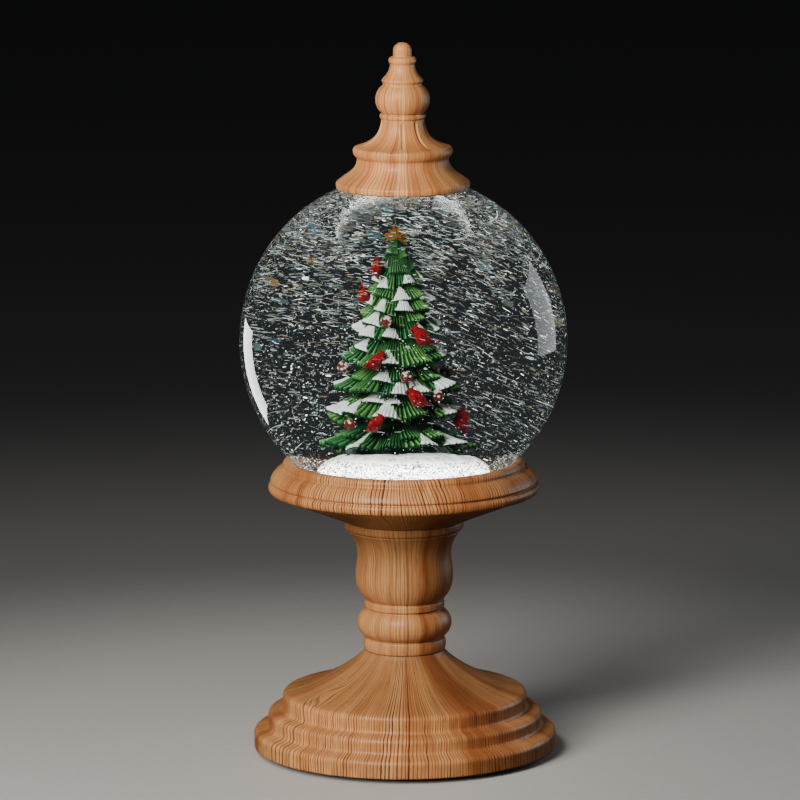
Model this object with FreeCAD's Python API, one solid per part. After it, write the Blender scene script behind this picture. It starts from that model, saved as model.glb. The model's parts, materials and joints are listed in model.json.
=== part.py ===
import FreeCAD, Part

import math
import os

# Lighted snow globe with a swirling pump, on a turned pedestal with a finial on top.
# Millimetres. +Z is up, the origin is on the surface it stands on, under the middle of the base,
# and -Y is the front. Every section is drawn as (radius, height) and spun about Z.

V = FreeCAD.Vector
Z_AXIS = V(0, 0, 1)
ORIGIN = V(0, 0, 0)

# Driving dimensions: heights of the joints between the big pieces
FOOT_HEIGHT = 2.4
BASE_BOTTOM = 2.0
PLATE_BOTTOM = FOOT_HEIGHT
PLATE_THICK = 2.4
PLATE_TOP = PLATE_BOTTOM + PLATE_THICK
BASE_TOP = 41.4
COLUMN_TOP = 94.0
TRAY_LIP = 118.7
CAP_TOP = 254.8

# Driving dimensions: the globe, which is 1% taller than it is wide
GLOBE_Z = 166.35
GLOBE_R = 65.0
GLOBE_RZ = 65.7
GLOBE_WALL = 2.5
NECK_R = 38.0
NECK_BORE = 35.5
NECK_END = 106.8

# Driving dimensions: feet and base
BASE_R = 60.3
FOOT_R = 5.5
FOOT_RING = 49.0
FOOT_TURN = 34.0
SHELL_BORE = 57.6

# Driving dimensions: the pump
STOPPER_FLANGE_R = 38.4
STOPPER_BOTTOM = 103.8
STOPPER_FLANGE = 2.0
STOPPER_R = 35.3
STOPPER_WELL_R = 30.0
MEMBRANE_BOTTOM = 107.5
MEMBRANE_TOP = 109.5
PUMP_PIN_R = 1.0
MAGNET_RING = 7.5

# Driving dimensions: the motor
MOTOR_R = 12.0
MOTOR_BOTTOM = 88.4
MOTOR_TOP = 101.9
SHAFT_R = 0.95
SLEEVE_R = 13.2
WELL_BOTTOM = 86.0
WELL_R = 15.0
TRAY_FLOOR = 97.0
LED_BOARD_Z = 102.2
LED_BOARD_THICK = 1.6

# Driving dimensions: the three AA cells
CELL_R = 7.1
CELL_LENGTH = 48.8
CELL_PITCH = 15.0
CELL_Z = PLATE_TOP + 0.5 + CELL_R
BOX_LENGTH = 60.0
BOX_WIDTH = 49.0
BOX_WALL = 1.6
BOX_TOP = PLATE_TOP + 16.6
DOOR_LENGTH = 56.0
DOOR_WIDTH = 45.0
DOOR_THICK = 2.0
DOOR_GAP = 0.4
DOOR_SCREW_X = DOOR_LENGTH / 2 + 4.5
DOOR_EAR_R = 4.6

# Driving dimensions: the figure
PLATFORM_BOTTOM = 118.0
PLATFORM_TOP = 124.6
PLATFORM_R = 26.6
MOUND_TOP = 132.0
TREE_X = -2.0
TREE_TOP = 196.0
STAR_Z = 199.3

PARTS = {}


def keep(name, *solids):
    """Files one piece, or a group of equal pieces, under its node name."""
    PARTS[name] = solids[0] if len(solids) == 1 else Part.makeCompound(list(solids))


class Outline:
    """A closed section in the XZ half plane, drawn edge by edge and then spun about Z."""

    def __init__(self, r, z):
        self.first = self.last = V(r, 0, z)
        self.edges = []

    def line(self, *points):
        for r, z in points:
            end = V(r, 0, z)
            self.edges.append(Part.LineSegment(self.last, end).toShape())
            self.last = end
        return self

    def arc(self, middle, end):
        mid, stop = V(middle[0], 0, middle[1]), V(end[0], 0, end[1])
        self.edges.append(Part.Arc(self.last, mid, stop).toShape())
        self.last = stop
        return self

    def curve(self, *points):
        """A smooth curve through the points."""
        spline = Part.BSplineCurve()
        spline.interpolate([self.last] + [V(r, 0, z) for r, z in points])
        self.edges.append(spline.toShape())
        self.last = V(points[-1][0], 0, points[-1][1])
        return self

    def globe_arc(self, grow, r_end, upper):
        """Follows the globe's ellipse, grown outwards by grow, round to the radius r_end."""
        a, b = GLOBE_R + grow, GLOBE_RZ + grow
        ellipse = Part.Ellipse(V(0, 0, GLOBE_Z + b), V(a, 0, GLOBE_Z), V(0, 0, GLOBE_Z))
        end = V(r_end, 0, globe_z(r_end, grow, upper))
        t0, t1 = ellipse.parameter(self.last), ellipse.parameter(end)
        edge = ellipse.toShape(min(t0, t1), max(t0, t1))
        self.edges.append(edge)
        self.last = end
        return self

    def spin(self):
        if self.last.distanceToPoint(self.first) > 1e-7:
            self.line((self.first.x, self.first.z))
        wire = Part.Wire(Part.__sortEdges__(self.edges))
        return Part.Face(wire).revolve(ORIGIN, Z_AXIS, 360)


def globe_z(r, grow=0.0, upper=True):
    """Height of the globe's surface, grown outwards by grow, at the radius r."""
    a, b = GLOBE_R + grow, GLOBE_RZ + grow
    rise = b * math.sqrt(1 - (r / a) ** 2)
    return GLOBE_Z + rise if upper else GLOBE_Z - rise


def globe_r(z, grow=0.0):
    """Radius of the globe's surface, grown outwards by grow, at the height z."""
    return (GLOBE_R + grow) * math.sqrt(1 - ((z - GLOBE_Z) / (GLOBE_RZ + grow)) ** 2)


def cylinder(r, z0, z1, x=0.0, y=0.0):
    return Part.makeCylinder(r, z1 - z0, V(x, y, z0))


def ring(r_in, r_out, z0, z1, x=0.0, y=0.0):
    return cylinder(r_out, z0, z1, x, y).cut(cylinder(r_in, z0 - 1, z1 + 1, x, y))


def box(x0, x1, y0, y1, z0, z1):
    return Part.makeBox(x1 - x0, y1 - y0, z1 - z0, V(x0, y0, z0))


def around(count, radius, turn=0.0):
    """Points evenly round a circle, the first one turned from the front towards +X."""
    for i in range(count):
        a = math.radians(turn + 360.0 * i / count)
        yield radius * math.sin(a), -radius * math.cos(a)


def screw(x, y, head_z, length, up=True, head_r=2.6, head_h=1.8, shank_r=1.2):
    """A pan-head tapping screw with a cross slot. Its head's bearing face is at head_z."""
    way = 1 if up else -1
    head = Part.makeCylinder(head_r, head_h, V(x, y, head_z), V(0, 0, -way))
    shank = Part.makeCylinder(shank_r, length, V(x, y, head_z), V(0, 0, way))
    body = head.fuse(shank)
    slot_z = head_z - way * head_h
    depth = 0.8
    low = min(slot_z, slot_z + way * depth)
    slot_half, slot_reach = 0.3, 1.5
    for sx, sy in ((slot_reach, slot_half), (slot_half, slot_reach)):
        body = body.cut(box(x - sx, x + sx, y - sy, y + sy, low, low + depth))
    return body


# ---- base -----------------------------------------------------------------------------------

PLATE_SCREW_RING = 50.5
PLATE_SCREW_TURN = 79.0
COLUMN_SCREW_RING = 8.6
WIRE_HOLE_R = 3.6


def base_shell():
    """Three stepped rings and a trumpet flare, hollow from below, closed at the top by a web."""
    section = Outline(SHELL_BORE, BASE_BOTTOM)
    section.line((BASE_R - 0.7, BASE_BOTTOM)).arc((60.1, 2.2), (BASE_R, 2.8))
    section.line((BASE_R, 6.6)).arc((59.6, 8.8), (57.8, 9.8)).line((55.4, 10.6))
    section.arc((54.9, 11.0), (54.7, 11.8)).line((54.7, 14.2)).arc((54.1, 16.0), (52.6, 16.9))
    section.line((49.6, 17.6)).arc((49.0, 18.0), (48.8, 18.8)).line((48.8, 22.2))
    section.arc((48.3, 23.9), (46.8, 24.7))
    section.curve((40.0, 25.8), (33.0, 28.1), (27.0, 31.3), (21.6, 35.3), (17.8, 38.6), (16.0, BASE_TOP))
    section.line((WIRE_HOLE_R, BASE_TOP), (WIRE_HOLE_R, BASE_TOP - 3.0), (13.0, BASE_TOP - 3.0))
    section.curve((17.4, 35.3), (23.8, 30.4), (32.5, 25.6), (43.5, 22.6), (46.2, 20.4))
    section.line((46.2, 15.6), (52.0, 14.4), (52.0, 9.0), (SHELL_BORE, 7.6))
    shell = section.spin()
    for x, y in around(4, PLATE_SCREW_RING, PLATE_SCREW_TURN):
        shell = shell.fuse(cylinder(3.2, PLATE_TOP, 14.4, x, y))
        shell = shell.cut(cylinder(1.2, PLATE_TOP - 1, 13.0, x, y))
    for x, y in around(3, COLUMN_SCREW_RING):
        shell = shell.cut(cylinder(1.6, BASE_TOP - 4, BASE_TOP + 1, x, y))
    return shell.removeSplitter()


SWITCH_Y = 37.0
SWITCH_TRAVEL = 2.5
SWITCH_SCREW_X = 11.0


def door_outline(gap, z0, z1):
    """The door's rectangle with a round ear for its screw, grown by gap all round."""
    half_l, half_w = DOOR_LENGTH / 2 + gap, DOOR_WIDTH / 2 + gap
    plate = box(-half_l, half_l, -half_w, half_w, z0, z1)
    ear = cylinder(DOOR_EAR_R + gap, z0, z1, DOOR_SCREW_X)
    neck = box(half_l - 1, DOOR_SCREW_X, -DOOR_EAR_R - gap, DOOR_EAR_R + gap, z0, z1)
    return plate.fuse(ear).fuse(neck).removeSplitter()


def base_plate():
    """Closes the base from below, with the battery opening, the switch slot and screw recesses."""
    plate = cylinder(SHELL_BORE - 0.2, PLATE_BOTTOM, PLATE_TOP)
    plate = plate.cut(door_outline(DOOR_GAP, PLATE_BOTTOM - 1, PLATE_TOP + 1))
    plate = plate.cut(box(-SWITCH_TRAVEL - 2.6, SWITCH_TRAVEL + 2.6, SWITCH_Y - 1.8, SWITCH_Y + 1.8,
                          PLATE_BOTTOM - 1, PLATE_TOP + 1))
    for x, y in around(4, PLATE_SCREW_RING, PLATE_SCREW_TURN):
        plate = plate.cut(cylinder(1.5, PLATE_BOTTOM - 1, PLATE_TOP + 1, x, y))
    for side in (-1, 1):
        plate = plate.cut(cylinder(1.3, PLATE_BOTTOM - 1, PLATE_TOP + 1, side * SWITCH_SCREW_X, SWITCH_Y))
    return plate


TAB_Y = 7.5
TAB_WIDTH = 4.2
TAB_BOTTOM = PLATE_TOP + 0.1
TAB_THICK = 1.0


def battery_box():
    """Open below. Two ribs part the three cells, a lug takes the door's screw, slots its tabs."""
    half_l, half_w = BOX_LENGTH / 2, BOX_WIDTH / 2
    tray = box(-half_l, half_l, -half_w, half_w, PLATE_TOP, BOX_TOP)
    tray = tray.cut(box(-half_l + BOX_WALL, half_l - BOX_WALL, -half_w + BOX_WALL, half_w - BOX_WALL,
                        PLATE_TOP - 1, BOX_TOP - BOX_WALL))
    for side in (-1, 1):
        y = side * CELL_PITCH / 2
        rib = box(-half_l + BOX_WALL, half_l - BOX_WALL, y - 0.25, y + 0.25,
                  PLATE_TOP + 9.0, BOX_TOP - BOX_WALL)
        tray = tray.fuse(rib)
        slot_half = TAB_WIDTH / 2 + 0.3
        tray = tray.cut(box(-half_l - 1, -half_l + BOX_WALL + 1, side * TAB_Y - slot_half,
                            side * TAB_Y + slot_half, PLATE_TOP - 1, PLATE_TOP + 3.0))
    lug_r, lug_top, lug_hole = 3.4, PLATE_TOP + 2.0, 1.25
    lug = cylinder(lug_r, PLATE_TOP, lug_top, DOOR_SCREW_X).fuse(
        box(half_l - BOX_WALL / 2, DOOR_SCREW_X, -lug_r, lug_r, PLATE_TOP, lug_top))
    tray = tray.fuse(lug).cut(cylinder(lug_hole, PLATE_TOP - 1, lug_top + 1, DOOR_SCREW_X))
    return tray.removeSplitter()


def aa_cell(y, way):
    """One AA cell lying along X. Its button end points to +X when way is 1."""
    half = CELL_LENGTH / 2
    can = Outline(0, -half).line((CELL_R - 0.5, -half), (CELL_R, -half + 0.5), (CELL_R, half - 0.5),
                                 (CELL_R - 0.5, half), (2.7, half), (2.7, half + 1.4),
                                 (0, half + 1.4)).spin()
    can.rotate(ORIGIN, V(0, 1, 0), 90 * way)
    can.translate(V(0, y, CELL_Z))
    return can


SPRING_WIRE_R = 0.35
SPRING_R = 3.6
SPRING_TURNS = 3.0
WIRE_SIDES = 8


def cell_spring(y, side):
    """A coil of eight-sided wire between the flat end of a cell and the box's end plate."""
    length = BOX_LENGTH / 2 - BOX_WALL - 0.6 - CELL_LENGTH / 2 - 2 * SPRING_WIRE_R - 0.1
    helix = Part.makeHelix(length / SPRING_TURNS, length, SPRING_R)
    section = []
    for i in range(WIRE_SIDES + 1):
        a = 2 * math.pi * i / WIRE_SIDES
        section.append(V(SPRING_R + SPRING_WIRE_R * math.cos(a), 0, SPRING_WIRE_R * math.sin(a)))
    coil = Part.Wire(helix).makePipeShell([Part.Wire(Part.makePolygon(section))], True, True)
    coil.translate(V(0, 0, CELL_LENGTH / 2 + SPRING_WIRE_R + 0.05))
    coil.rotate(ORIGIN, V(0, 1, 0), 90 * side)
    coil.translate(V(0, y, CELL_Z))
    return coil


def cell_contacts():
    """A plate behind each cell end, and the two straps that put the cells in series."""
    inner = BOX_LENGTH / 2 - BOX_WALL
    plates = []
    for side in (-1, 1):
        for row in (-1, 0, 1):
            y = row * CELL_PITCH
            x0, x1 = sorted((side * inner, side * (inner - 0.5)))
            plates.append(box(x0, x1, y - 5.0, y + 5.0, PLATE_TOP + 1.5, PLATE_TOP + 13.0))
    return plates


def battery_door():
    """Door flush with the plate: a screw ear at +X, and at -X two tabs hooked over the plate."""
    top = PLATE_BOTTOM + DOOR_THICK
    door = door_outline(0, PLATE_BOTTOM, top)
    for side in (-1, 1):
        y0, y1 = side * TAB_Y - TAB_WIDTH / 2, side * TAB_Y + TAB_WIDTH / 2
        root, tip = -DOOR_LENGTH / 2 + 1.8, -DOOR_LENGTH / 2 - 2.6
        door = door.fuse(box(root - 1.6, root, y0, y1, top - 0.5, TAB_BOTTOM + TAB_THICK))
        door = door.fuse(box(tip, root, y0, y1, TAB_BOTTOM, TAB_BOTTOM + TAB_THICK))
    rib_count, rib_pitch = 5, 2.2
    for i in range(rib_count):
        x = DOOR_LENGTH / 2 - 16.0 + i * rib_pitch
        door = door.cut(box(x, x + 1.0, -9.0, 9.0, PLATE_BOTTOM - 1, PLATE_BOTTOM + 0.6))
    door = door.cut(cylinder(2.8, PLATE_BOTTOM - 1, PLATE_BOTTOM + 1.1, DOOR_SCREW_X))
    return door.cut(cylinder(1.2, PLATE_BOTTOM - 1, top + 1, DOOR_SCREW_X)).removeSplitter()


def rubber_foot(x, y):
    return Outline(0, 0).line((FOOT_R - 0.6, 0)).arc((FOOT_R - 0.15, 0.2), (FOOT_R, 0.7)).line(
        (FOOT_R, FOOT_HEIGHT), (0, FOOT_HEIGHT)).spin().translated(V(x, y, 0))


def switch_body():
    """Metal-cased slide switch standing on the plate's inner side, with two ears."""
    case = box(-7.5, 7.5, SWITCH_Y - 3.6, SWITCH_Y + 3.6, PLATE_TOP, PLATE_TOP + 5.6)
    ears = box(-14.0, 14.0, SWITCH_Y - 2.8, SWITCH_Y + 2.8, PLATE_TOP, PLATE_TOP + 0.8)
    room = SWITCH_TRAVEL + 3.2
    body = case.fuse(ears).cut(box(-room, room, SWITCH_Y - 2.0, SWITCH_Y + 2.0,
                                   PLATE_TOP - 1, PLATE_TOP + 4.2))
    for side in (-1, 1):
        body = body.cut(cylinder(1.3, PLATE_TOP - 1, PLATE_TOP + 2, side * SWITCH_SCREW_X, SWITCH_Y))
    pin_pitch = 4.0
    for i in (-1, 0, 1):
        pin = box(i * pin_pitch - 0.4, i * pin_pitch + 0.4, SWITCH_Y - 0.2, SWITCH_Y + 0.2,
                  PLATE_TOP + 5.6, PLATE_TOP + 8.6)
        body = body.fuse(pin)
    return body


def switch_slider():
    """The knob reaches through the plate's slot, and a wider foot inside stops it coming out."""
    knob = box(-2.2, 2.2, SWITCH_Y - 1.4, SWITCH_Y + 1.4, PLATE_BOTTOM - 1.2, PLATE_TOP + 0.9)
    for i in (-1, 0, 1):
        knob = knob.cut(box(i * 1.3 - 0.25, i * 1.3 + 0.25, SWITCH_Y - 2, SWITCH_Y + 2,
                            PLATE_BOTTOM - 2, PLATE_BOTTOM - 0.8))
    return knob.fuse(box(-2.8, 2.8, SWITCH_Y - 1.7, SWITCH_Y + 1.7, PLATE_TOP + 0.9, PLATE_TOP + 3.9))


BOARD_Z = BOX_TOP + 0.6
BOARD_THICK = 1.2


def control_board():
    board = box(-14, 14, -10, 10, BOARD_Z, BOARD_Z + BOARD_THICK)
    for x in (-12, 12):
        for y in (8, -8):
            board = board.fuse(cylinder(1.6, BOX_TOP, BOARD_Z, x, y))
    return board.removeSplitter()


def board_components():
    """Timer chip, capacitor, two resistors and the lead socket."""
    top = BOARD_Z + BOARD_THICK
    chip = box(-9.0, -3.0, -2.5, 2.5, top, top + 1.6)
    capacitor = cylinder(2.5, top, top + 3.0, -7.0, 6.0)
    resistors = [box(x, x + 3.2, -7.0, -5.4, top, top + 0.6) for x in (-10.0, -5.0)]
    socket = box(2.8, 7.8, -2.5, 2.5, top, top + 1.0)
    return [chip, capacitor, *resistors, socket]


LOOM_R = 1.4
LOOM_ROUTE = [(5.3, 0.0, BOARD_Z + BOARD_THICK + 1.0), (5.3, 0.0, 29.5), (1.6, 0.0, 36.5),
              (0.0, 0.0, 44.5), (0.9, 0.3, 54.0), (0.2, 0.9, 64.0), (-0.8, 0.2, 73.5),
              (0.0, 0.0, 81.5), (0.0, 0.0, MOTOR_BOTTOM)]


def tube_along(route, radius):
    """A bundle of leads along straight runs joined by arcs as large as the runs allow."""
    points = [V(*p) for p in route]
    edges, at = [], points[0]
    for before, corner, after in zip(points, points[1:], points[2:]):
        back, on = (before - corner), (after - corner)
        run = min(back.Length, on.Length) * 0.45
        back.normalize()
        on.normalize()
        start, end = corner + back * run, corner + on * run
        turn = math.pi - back.getAngle(on)
        bend = run / math.tan(turn / 2)
        away = (back + on).normalize()
        middle = corner + away * (math.hypot(run, bend) - bend)
        edges += [Part.LineSegment(at, start).toShape(), Part.Arc(start, middle, end).toShape()]
        at = end
    edges.append(Part.LineSegment(at, points[-1]).toShape())
    path = Part.Wire(edges)
    first = points[1] - points[0]
    section = Part.Wire(Part.Circle(points[0], first, radius).toShape())
    return path.makePipeShell([section], True, True)


# ---- column and tray ------------------------------------------------------------------------

TRAY_SCREW_RING = 17.4


def pedestal_column():
    """Ring, bead, ring, urn and collar, turned as one piece and bored for the wires."""
    section = Outline(WIRE_HOLE_R, BASE_TOP).line((15.7, BASE_TOP))
    section.arc((16.5, 43.6), (15.8, 46.4)).line((15.2, 46.7))
    section.arc((18.8, 52.3), (15.3, 58.2)).line((15.7, 58.4))
    section.arc((16.0, 59.9), (15.7, 61.4)).line((15.0, 61.8))
    section.curve((17.6, 64.6), (19.3, 69.0), (19.5, 73.4), (18.9, 78.6), (18.7, 82.4),
                  (19.5, 86.2), (22.0, 89.6))
    section.line((22.9, 90.0)).arc((23.8, 91.9), (23.4, COLUMN_TOP))
    section.line((WELL_R + 0.3, COLUMN_TOP), (WELL_R + 0.3, 84.0), (11.5, 80.0), (11.5, 46.0),
                 (WIRE_HOLE_R, 46.0))
    column = section.spin()
    for x, y in around(3, COLUMN_SCREW_RING):
        column = column.cut(cylinder(1.2, BASE_TOP - 1, 46.5, x, y))
    for x, y in around(3, TRAY_SCREW_RING, 60):
        column = column.cut(cylinder(1.2, COLUMN_TOP - 5, COLUMN_TOP + 1, x, y))
    return column


def globe_tray():
    """Wide moulded rim that takes the globe, with the motor's well hanging into the column."""
    section = Outline(WELL_R, COLUMN_TOP).line((23.2, COLUMN_TOP), (50.4, 104.9))
    section.arc((53.9, 107.2), (52.5, 109.5)).line((52.9, 109.9))
    section.arc((51.5, 113.6), (48.4, 115.2)).line((47.9, 116.0)).arc((47.8, 118.1), (46.3, TRAY_LIP))
    seat = 0.15
    section.line((globe_r(TRAY_LIP, seat), TRAY_LIP))
    section.globe_arc(seat, globe_r(115.8, seat), False)
    section.line((globe_r(115.8, seat), 114.6), (46.0, 112.6), (46.0, 106.6), (24.0, TRAY_FLOOR))
    section.line((SLEEVE_R + 0.1, TRAY_FLOOR), (SLEEVE_R + 0.1, MOTOR_BOTTOM - 0.4),
                 (4.0, MOTOR_BOTTOM - 0.4), (4.0, WELL_BOTTOM), (WELL_R, WELL_BOTTOM))
    tray = section.spin()
    for x, y in around(3, TRAY_SCREW_RING, 60):
        tray = tray.cut(cylinder(1.6, COLUMN_TOP - 1, TRAY_FLOOR + 1, x, y))
    for x, y in around(3, LED_POST_RING):
        tray = tray.fuse(cylinder(2.6, TRAY_FLOOR - 0.5, LED_BOARD_Z, x, y))
        tray = tray.cut(cylinder(0.9, TRAY_FLOOR, LED_BOARD_Z + 1, x, y))
    return tray.removeSplitter()


# ---- motor and lamps ------------------------------------------------------------------------

LED_POST_RING = 22.0
LED_RING = 20.5


def drive_motor():
    bore, shaft_foot, nose = SHAFT_R + 0.05, MOTOR_BOTTOM + 6.0, MOTOR_TOP + 0.9
    can = Outline(bore, shaft_foot)
    can.line((bore, nose), (3.4, nose), (3.4, MOTOR_TOP), (MOTOR_R - 1.0, MOTOR_TOP))
    can.arc((MOTOR_R - 0.3, MOTOR_TOP - 0.3), (MOTOR_R, MOTOR_TOP - 1.0))
    can.line((MOTOR_R, MOTOR_BOTTOM), (0, MOTOR_BOTTOM), (0, shaft_foot))
    return can.spin()


CARRIER_R = 13.0
CARRIER_BOTTOM = 104.1
CARRIER_TOP = 107.0
CARRIER_POCKET = 104.9


def magnet_carrier():
    """Disc on the motor's shaft with two pockets for magnets."""
    body = cylinder(CARRIER_R, CARRIER_BOTTOM, CARRIER_TOP)
    body = body.cut(cylinder(SHAFT_R + 0.03, CARRIER_BOTTOM - 1, CARRIER_TOP - 0.8))
    for x, y in around(2, MAGNET_RING, 90):
        body = body.cut(cylinder(3.5, CARRIER_POCKET, CARRIER_TOP + 1, x, y))
    return body


def led_board():
    board = ring(5.0, 27.0, LED_BOARD_Z, LED_BOARD_Z + LED_BOARD_THICK)
    for x, y in around(3, LED_POST_RING):
        board = board.cut(cylinder(1.2, LED_BOARD_Z - 1, LED_BOARD_Z + 3, x, y))
    return board


def led(x, y):
    """A flat lamp with a domed lens, standing on the board."""
    top = LED_BOARD_Z + LED_BOARD_THICK
    lens = Outline(0, 0).line((2.4, 0), (2.4, 0.9)).arc((1.9, 1.9), (0.8, 2.3)).line((0, 2.3)).spin()
    return lens.translated(V(x, y, top))


# ---- globe and pump -------------------------------------------------------------------------


def glass_globe():
    """Blown glass, one opening below with a short straight neck."""
    inner = -GLOBE_WALL
    neck_top = globe_z(NECK_BORE, inner, False)
    section = Outline(0, GLOBE_Z + GLOBE_RZ)
    section.globe_arc(0.0, NECK_R, False)
    section.line((NECK_R, NECK_END), (NECK_BORE, NECK_END), (NECK_BORE, neck_top))
    section.globe_arc(inner, 0.0, True)
    return section.spin()


def stopper():
    """Plug with a flange below the neck. Its middle is a thin wall between the magnets."""
    flange_top = STOPPER_BOTTOM + STOPPER_FLANGE
    plug = Outline(STOPPER_WELL_R, STOPPER_BOTTOM).line(
        (STOPPER_FLANGE_R, STOPPER_BOTTOM), (STOPPER_FLANGE_R, flange_top), (STOPPER_R, flange_top),
        (STOPPER_R, 112.0), (33.0, 112.0), (33.0, MEMBRANE_TOP), (0, MEMBRANE_TOP), (0, MEMBRANE_BOTTOM),
        (STOPPER_WELL_R, MEMBRANE_BOTTOM)).spin()
    return plug.fuse(ring(PUMP_PIN_R, 3.0, MEMBRANE_TOP - 0.5, MEMBRANE_TOP + 1.5))


IMPELLER_BOTTOM = 111.4


def impeller():
    """Hub with six curved paddles on a disc that holds the two magnets."""
    disc_bottom, disc_top, paddle_top = IMPELLER_BOTTOM, IMPELLER_BOTTOM + 2.8, IMPELLER_BOTTOM + 5.8
    body = cylinder(12.0, disc_bottom, disc_top)
    for i in range(6):
        paddle = ring(9.0, 10.2, disc_top, paddle_top, 9.6, 0.0).common(
            box(2.2, 12.0, 0.0, 12.0, disc_top, paddle_top))
        paddle = paddle.common(cylinder(11.8, disc_top, paddle_top))
        paddle.rotate(ORIGIN, Z_AXIS, 60 * i)
        body = body.fuse(paddle)
    body = body.fuse(cylinder(3.0, disc_bottom, paddle_top))
    body = body.cut(cylinder(PUMP_PIN_R + 0.06, disc_bottom - 1, paddle_top + 1))
    for x, y in around(2, MAGNET_RING, 90):
        body = body.cut(cylinder(3.05, disc_bottom - 1, disc_bottom + 2.0, x, y))
    return body.removeSplitter()


def impeller_housing():
    """Ring wall that carries the platform, with slanted outlets that set the water turning."""
    wall = ring(14.0, 17.0, MEMBRANE_TOP, PLATFORM_BOTTOM)
    for i in range(4):
        outlet = box(8.0, 20.0, 11.6, 15.4, 112.0, 116.6)
        outlet.rotate(ORIGIN, Z_AXIS, 90 * i)
        wall = wall.cut(outlet)
    return wall


# ---- figure ---------------------------------------------------------------------------------

# Each tier of branches: height of the tips, reach of the tips, number of branches
TIERS = [
    (134.6, 23.6, 11),
    (145.6, 20.6, 11),
    (153.2, 18.8, 10),
    (161.6, 16.2, 10),
    (170.6, 13.8, 9),
    (178.8, 10.8, 8),
    (185.6, 8.2, 7),
]
TIER_RISE = 13.0
PEG_R = 3.0


def largest(shape):
    """Drops the chips that the birds' seats cut off the branches."""
    return max(shape.Solids, key=lambda solid: solid.Volume)


def star_wire(tips, reach, valley, z, turn):
    points = []
    for i in range(2 * tips):
        a = math.radians(turn + 180.0 * i / tips)
        r = reach if i % 2 == 0 else valley
        points.append(V(TREE_X + r * math.cos(a), r * math.sin(a), z))
    return Part.Wire(Part.makePolygon(points + points[:1]))


def tree():
    """Cast fir with seven tiers of pointed branches on one trunk, and a peg into the mound."""
    trunk = cylinder(3.4, MOUND_TOP, TREE_TOP - 14, TREE_X, 0)
    body = trunk.fuse(cylinder(PEG_R, MOUND_TOP - 4, MOUND_TOP, TREE_X, 0))
    for i, (tip_z, reach, count) in enumerate(TIERS):
        top_z = min(tip_z + TIER_RISE, TREE_TOP - 1.5)
        turn = 17.0 * i
        under = star_wire(count, 0.55 * reach, 0.5 * reach, tip_z - 1.2, turn)
        skirt = star_wire(count, reach, 0.76 * reach, tip_z, turn)
        crown = star_wire(count, 0.22 * reach + 0.6, 0.2 * reach + 0.6, top_z, turn)
        body = body.fuse(Part.makeLoft([under, skirt], True, True))
        body = body.fuse(Part.makeLoft([skirt, crown], True, True))
    leader = Part.makeCone(2.0, 0.9, TREE_TOP + 0.4 - 191.0, V(TREE_X, 0, 191.0))
    return body.fuse(leader)


# Each bird: angle round the tree from the front towards +X, distance out, height, heading, lift
# of the beak, size
BIRDS = [
    (-46.0, 9.2, 190.2, -100.0, 62.0, 0.85),
    (-78.0, 12.0, 180.6, -60.0, 45.0, 0.8),
    (34.0, 14.2, 169.0, -75.0, 18.0, 1.1),
    (-26.0, 15.6, 161.4, 80.0, 18.0, 1.0),
    (20.0, 19.0, 149.8, -80.0, 18.0, 1.1),
    (-20.0, 21.4, 141.4, 85.0, 18.0, 1.0),
    (82.0, 19.4, 142.0, -35.0, 55.0, 0.95),
    (170.0, 15.0, 163.0, 90.0, 30.0, 1.0),
    (150.0, 19.5, 147.5, -90.0, 30.0, 1.0),
]


def bird(turn, out, z, heading, lift, size):
    """A plump perched bird, tail to beak as one turned body."""
    body = Outline(0, -4.6).line((0.9, -4.4), (1.1, -2.3))
    body.curve((2.0, -1.5), (2.55, -0.5), (2.6, 0.6), (2.3, 1.6), (1.8, 2.3))
    body.curve((1.87, 3.0), (1.6, 3.8), (0.8, 4.4)).line((0, 5.2))
    shape = body.spin()
    shape.scale(size, ORIGIN)
    shape.rotate(ORIGIN, V(1, 0, 0), 90.0 - lift)
    shape.rotate(ORIGIN, Z_AXIS, heading)
    a = math.radians(turn)
    shape.translate(V(TREE_X + out * math.sin(a), -out * math.cos(a), z))
    return shape


# Each pinecone: angle round the tree, distance out, height
PINECONES = [
    (-14.0, 13.6, 174.6),
    (10.0, 17.0, 157.2),
    (-80.0, 16.4, 158.6),
    (46.0, 17.6, 150.6),
    (-46.0, 21.0, 141.6),
    (120.0, 16.5, 156.0),
]


def pinecone(turn, out, z):
    """A short round cone hung on a branch."""
    a = math.radians(turn)
    return Part.makeSphere(2.2, V(TREE_X + out * math.sin(a), -out * math.cos(a), z))


def tree_star():
    """Five-pointed star with a raised ridge on each face, on a short stem."""
    reach, valley, half_depth = 4.8, 2.0, 1.5
    rim = []
    for i in range(10):
        a = math.radians(90 + 36 * i)
        r = reach if i % 2 == 0 else valley
        rim.append(V(TREE_X + r * math.cos(a), 0, STAR_Z + r * math.sin(a)))
    peaks = [V(TREE_X, -half_depth, STAR_Z), V(TREE_X, half_depth, STAR_Z)]
    faces = []
    for i in range(10):
        a, b = rim[i], rim[(i + 1) % 10]
        for peak in peaks:
            faces.append(Part.Face(Part.makePolygon([a, b, peak, a])))
    star = Part.makeSolid(Part.makeShell(faces))
    if star.Volume < 0:
        star.reverse()
    return star.fuse(cylinder(0.7, TREE_TOP + 0.4, STAR_Z, TREE_X, 0))


def snow_platform():
    """Milky disc over the pump that carries the light into the snow."""
    plate = Outline(0, PLATFORM_BOTTOM).line((PLATFORM_R - 1.2, PLATFORM_BOTTOM))
    plate.arc((PLATFORM_R - 0.3, PLATFORM_BOTTOM + 0.4), (PLATFORM_R, PLATFORM_BOTTOM + 1.4))
    plate.line((PLATFORM_R, PLATFORM_TOP), (0, PLATFORM_TOP))
    return plate.spin()


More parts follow.
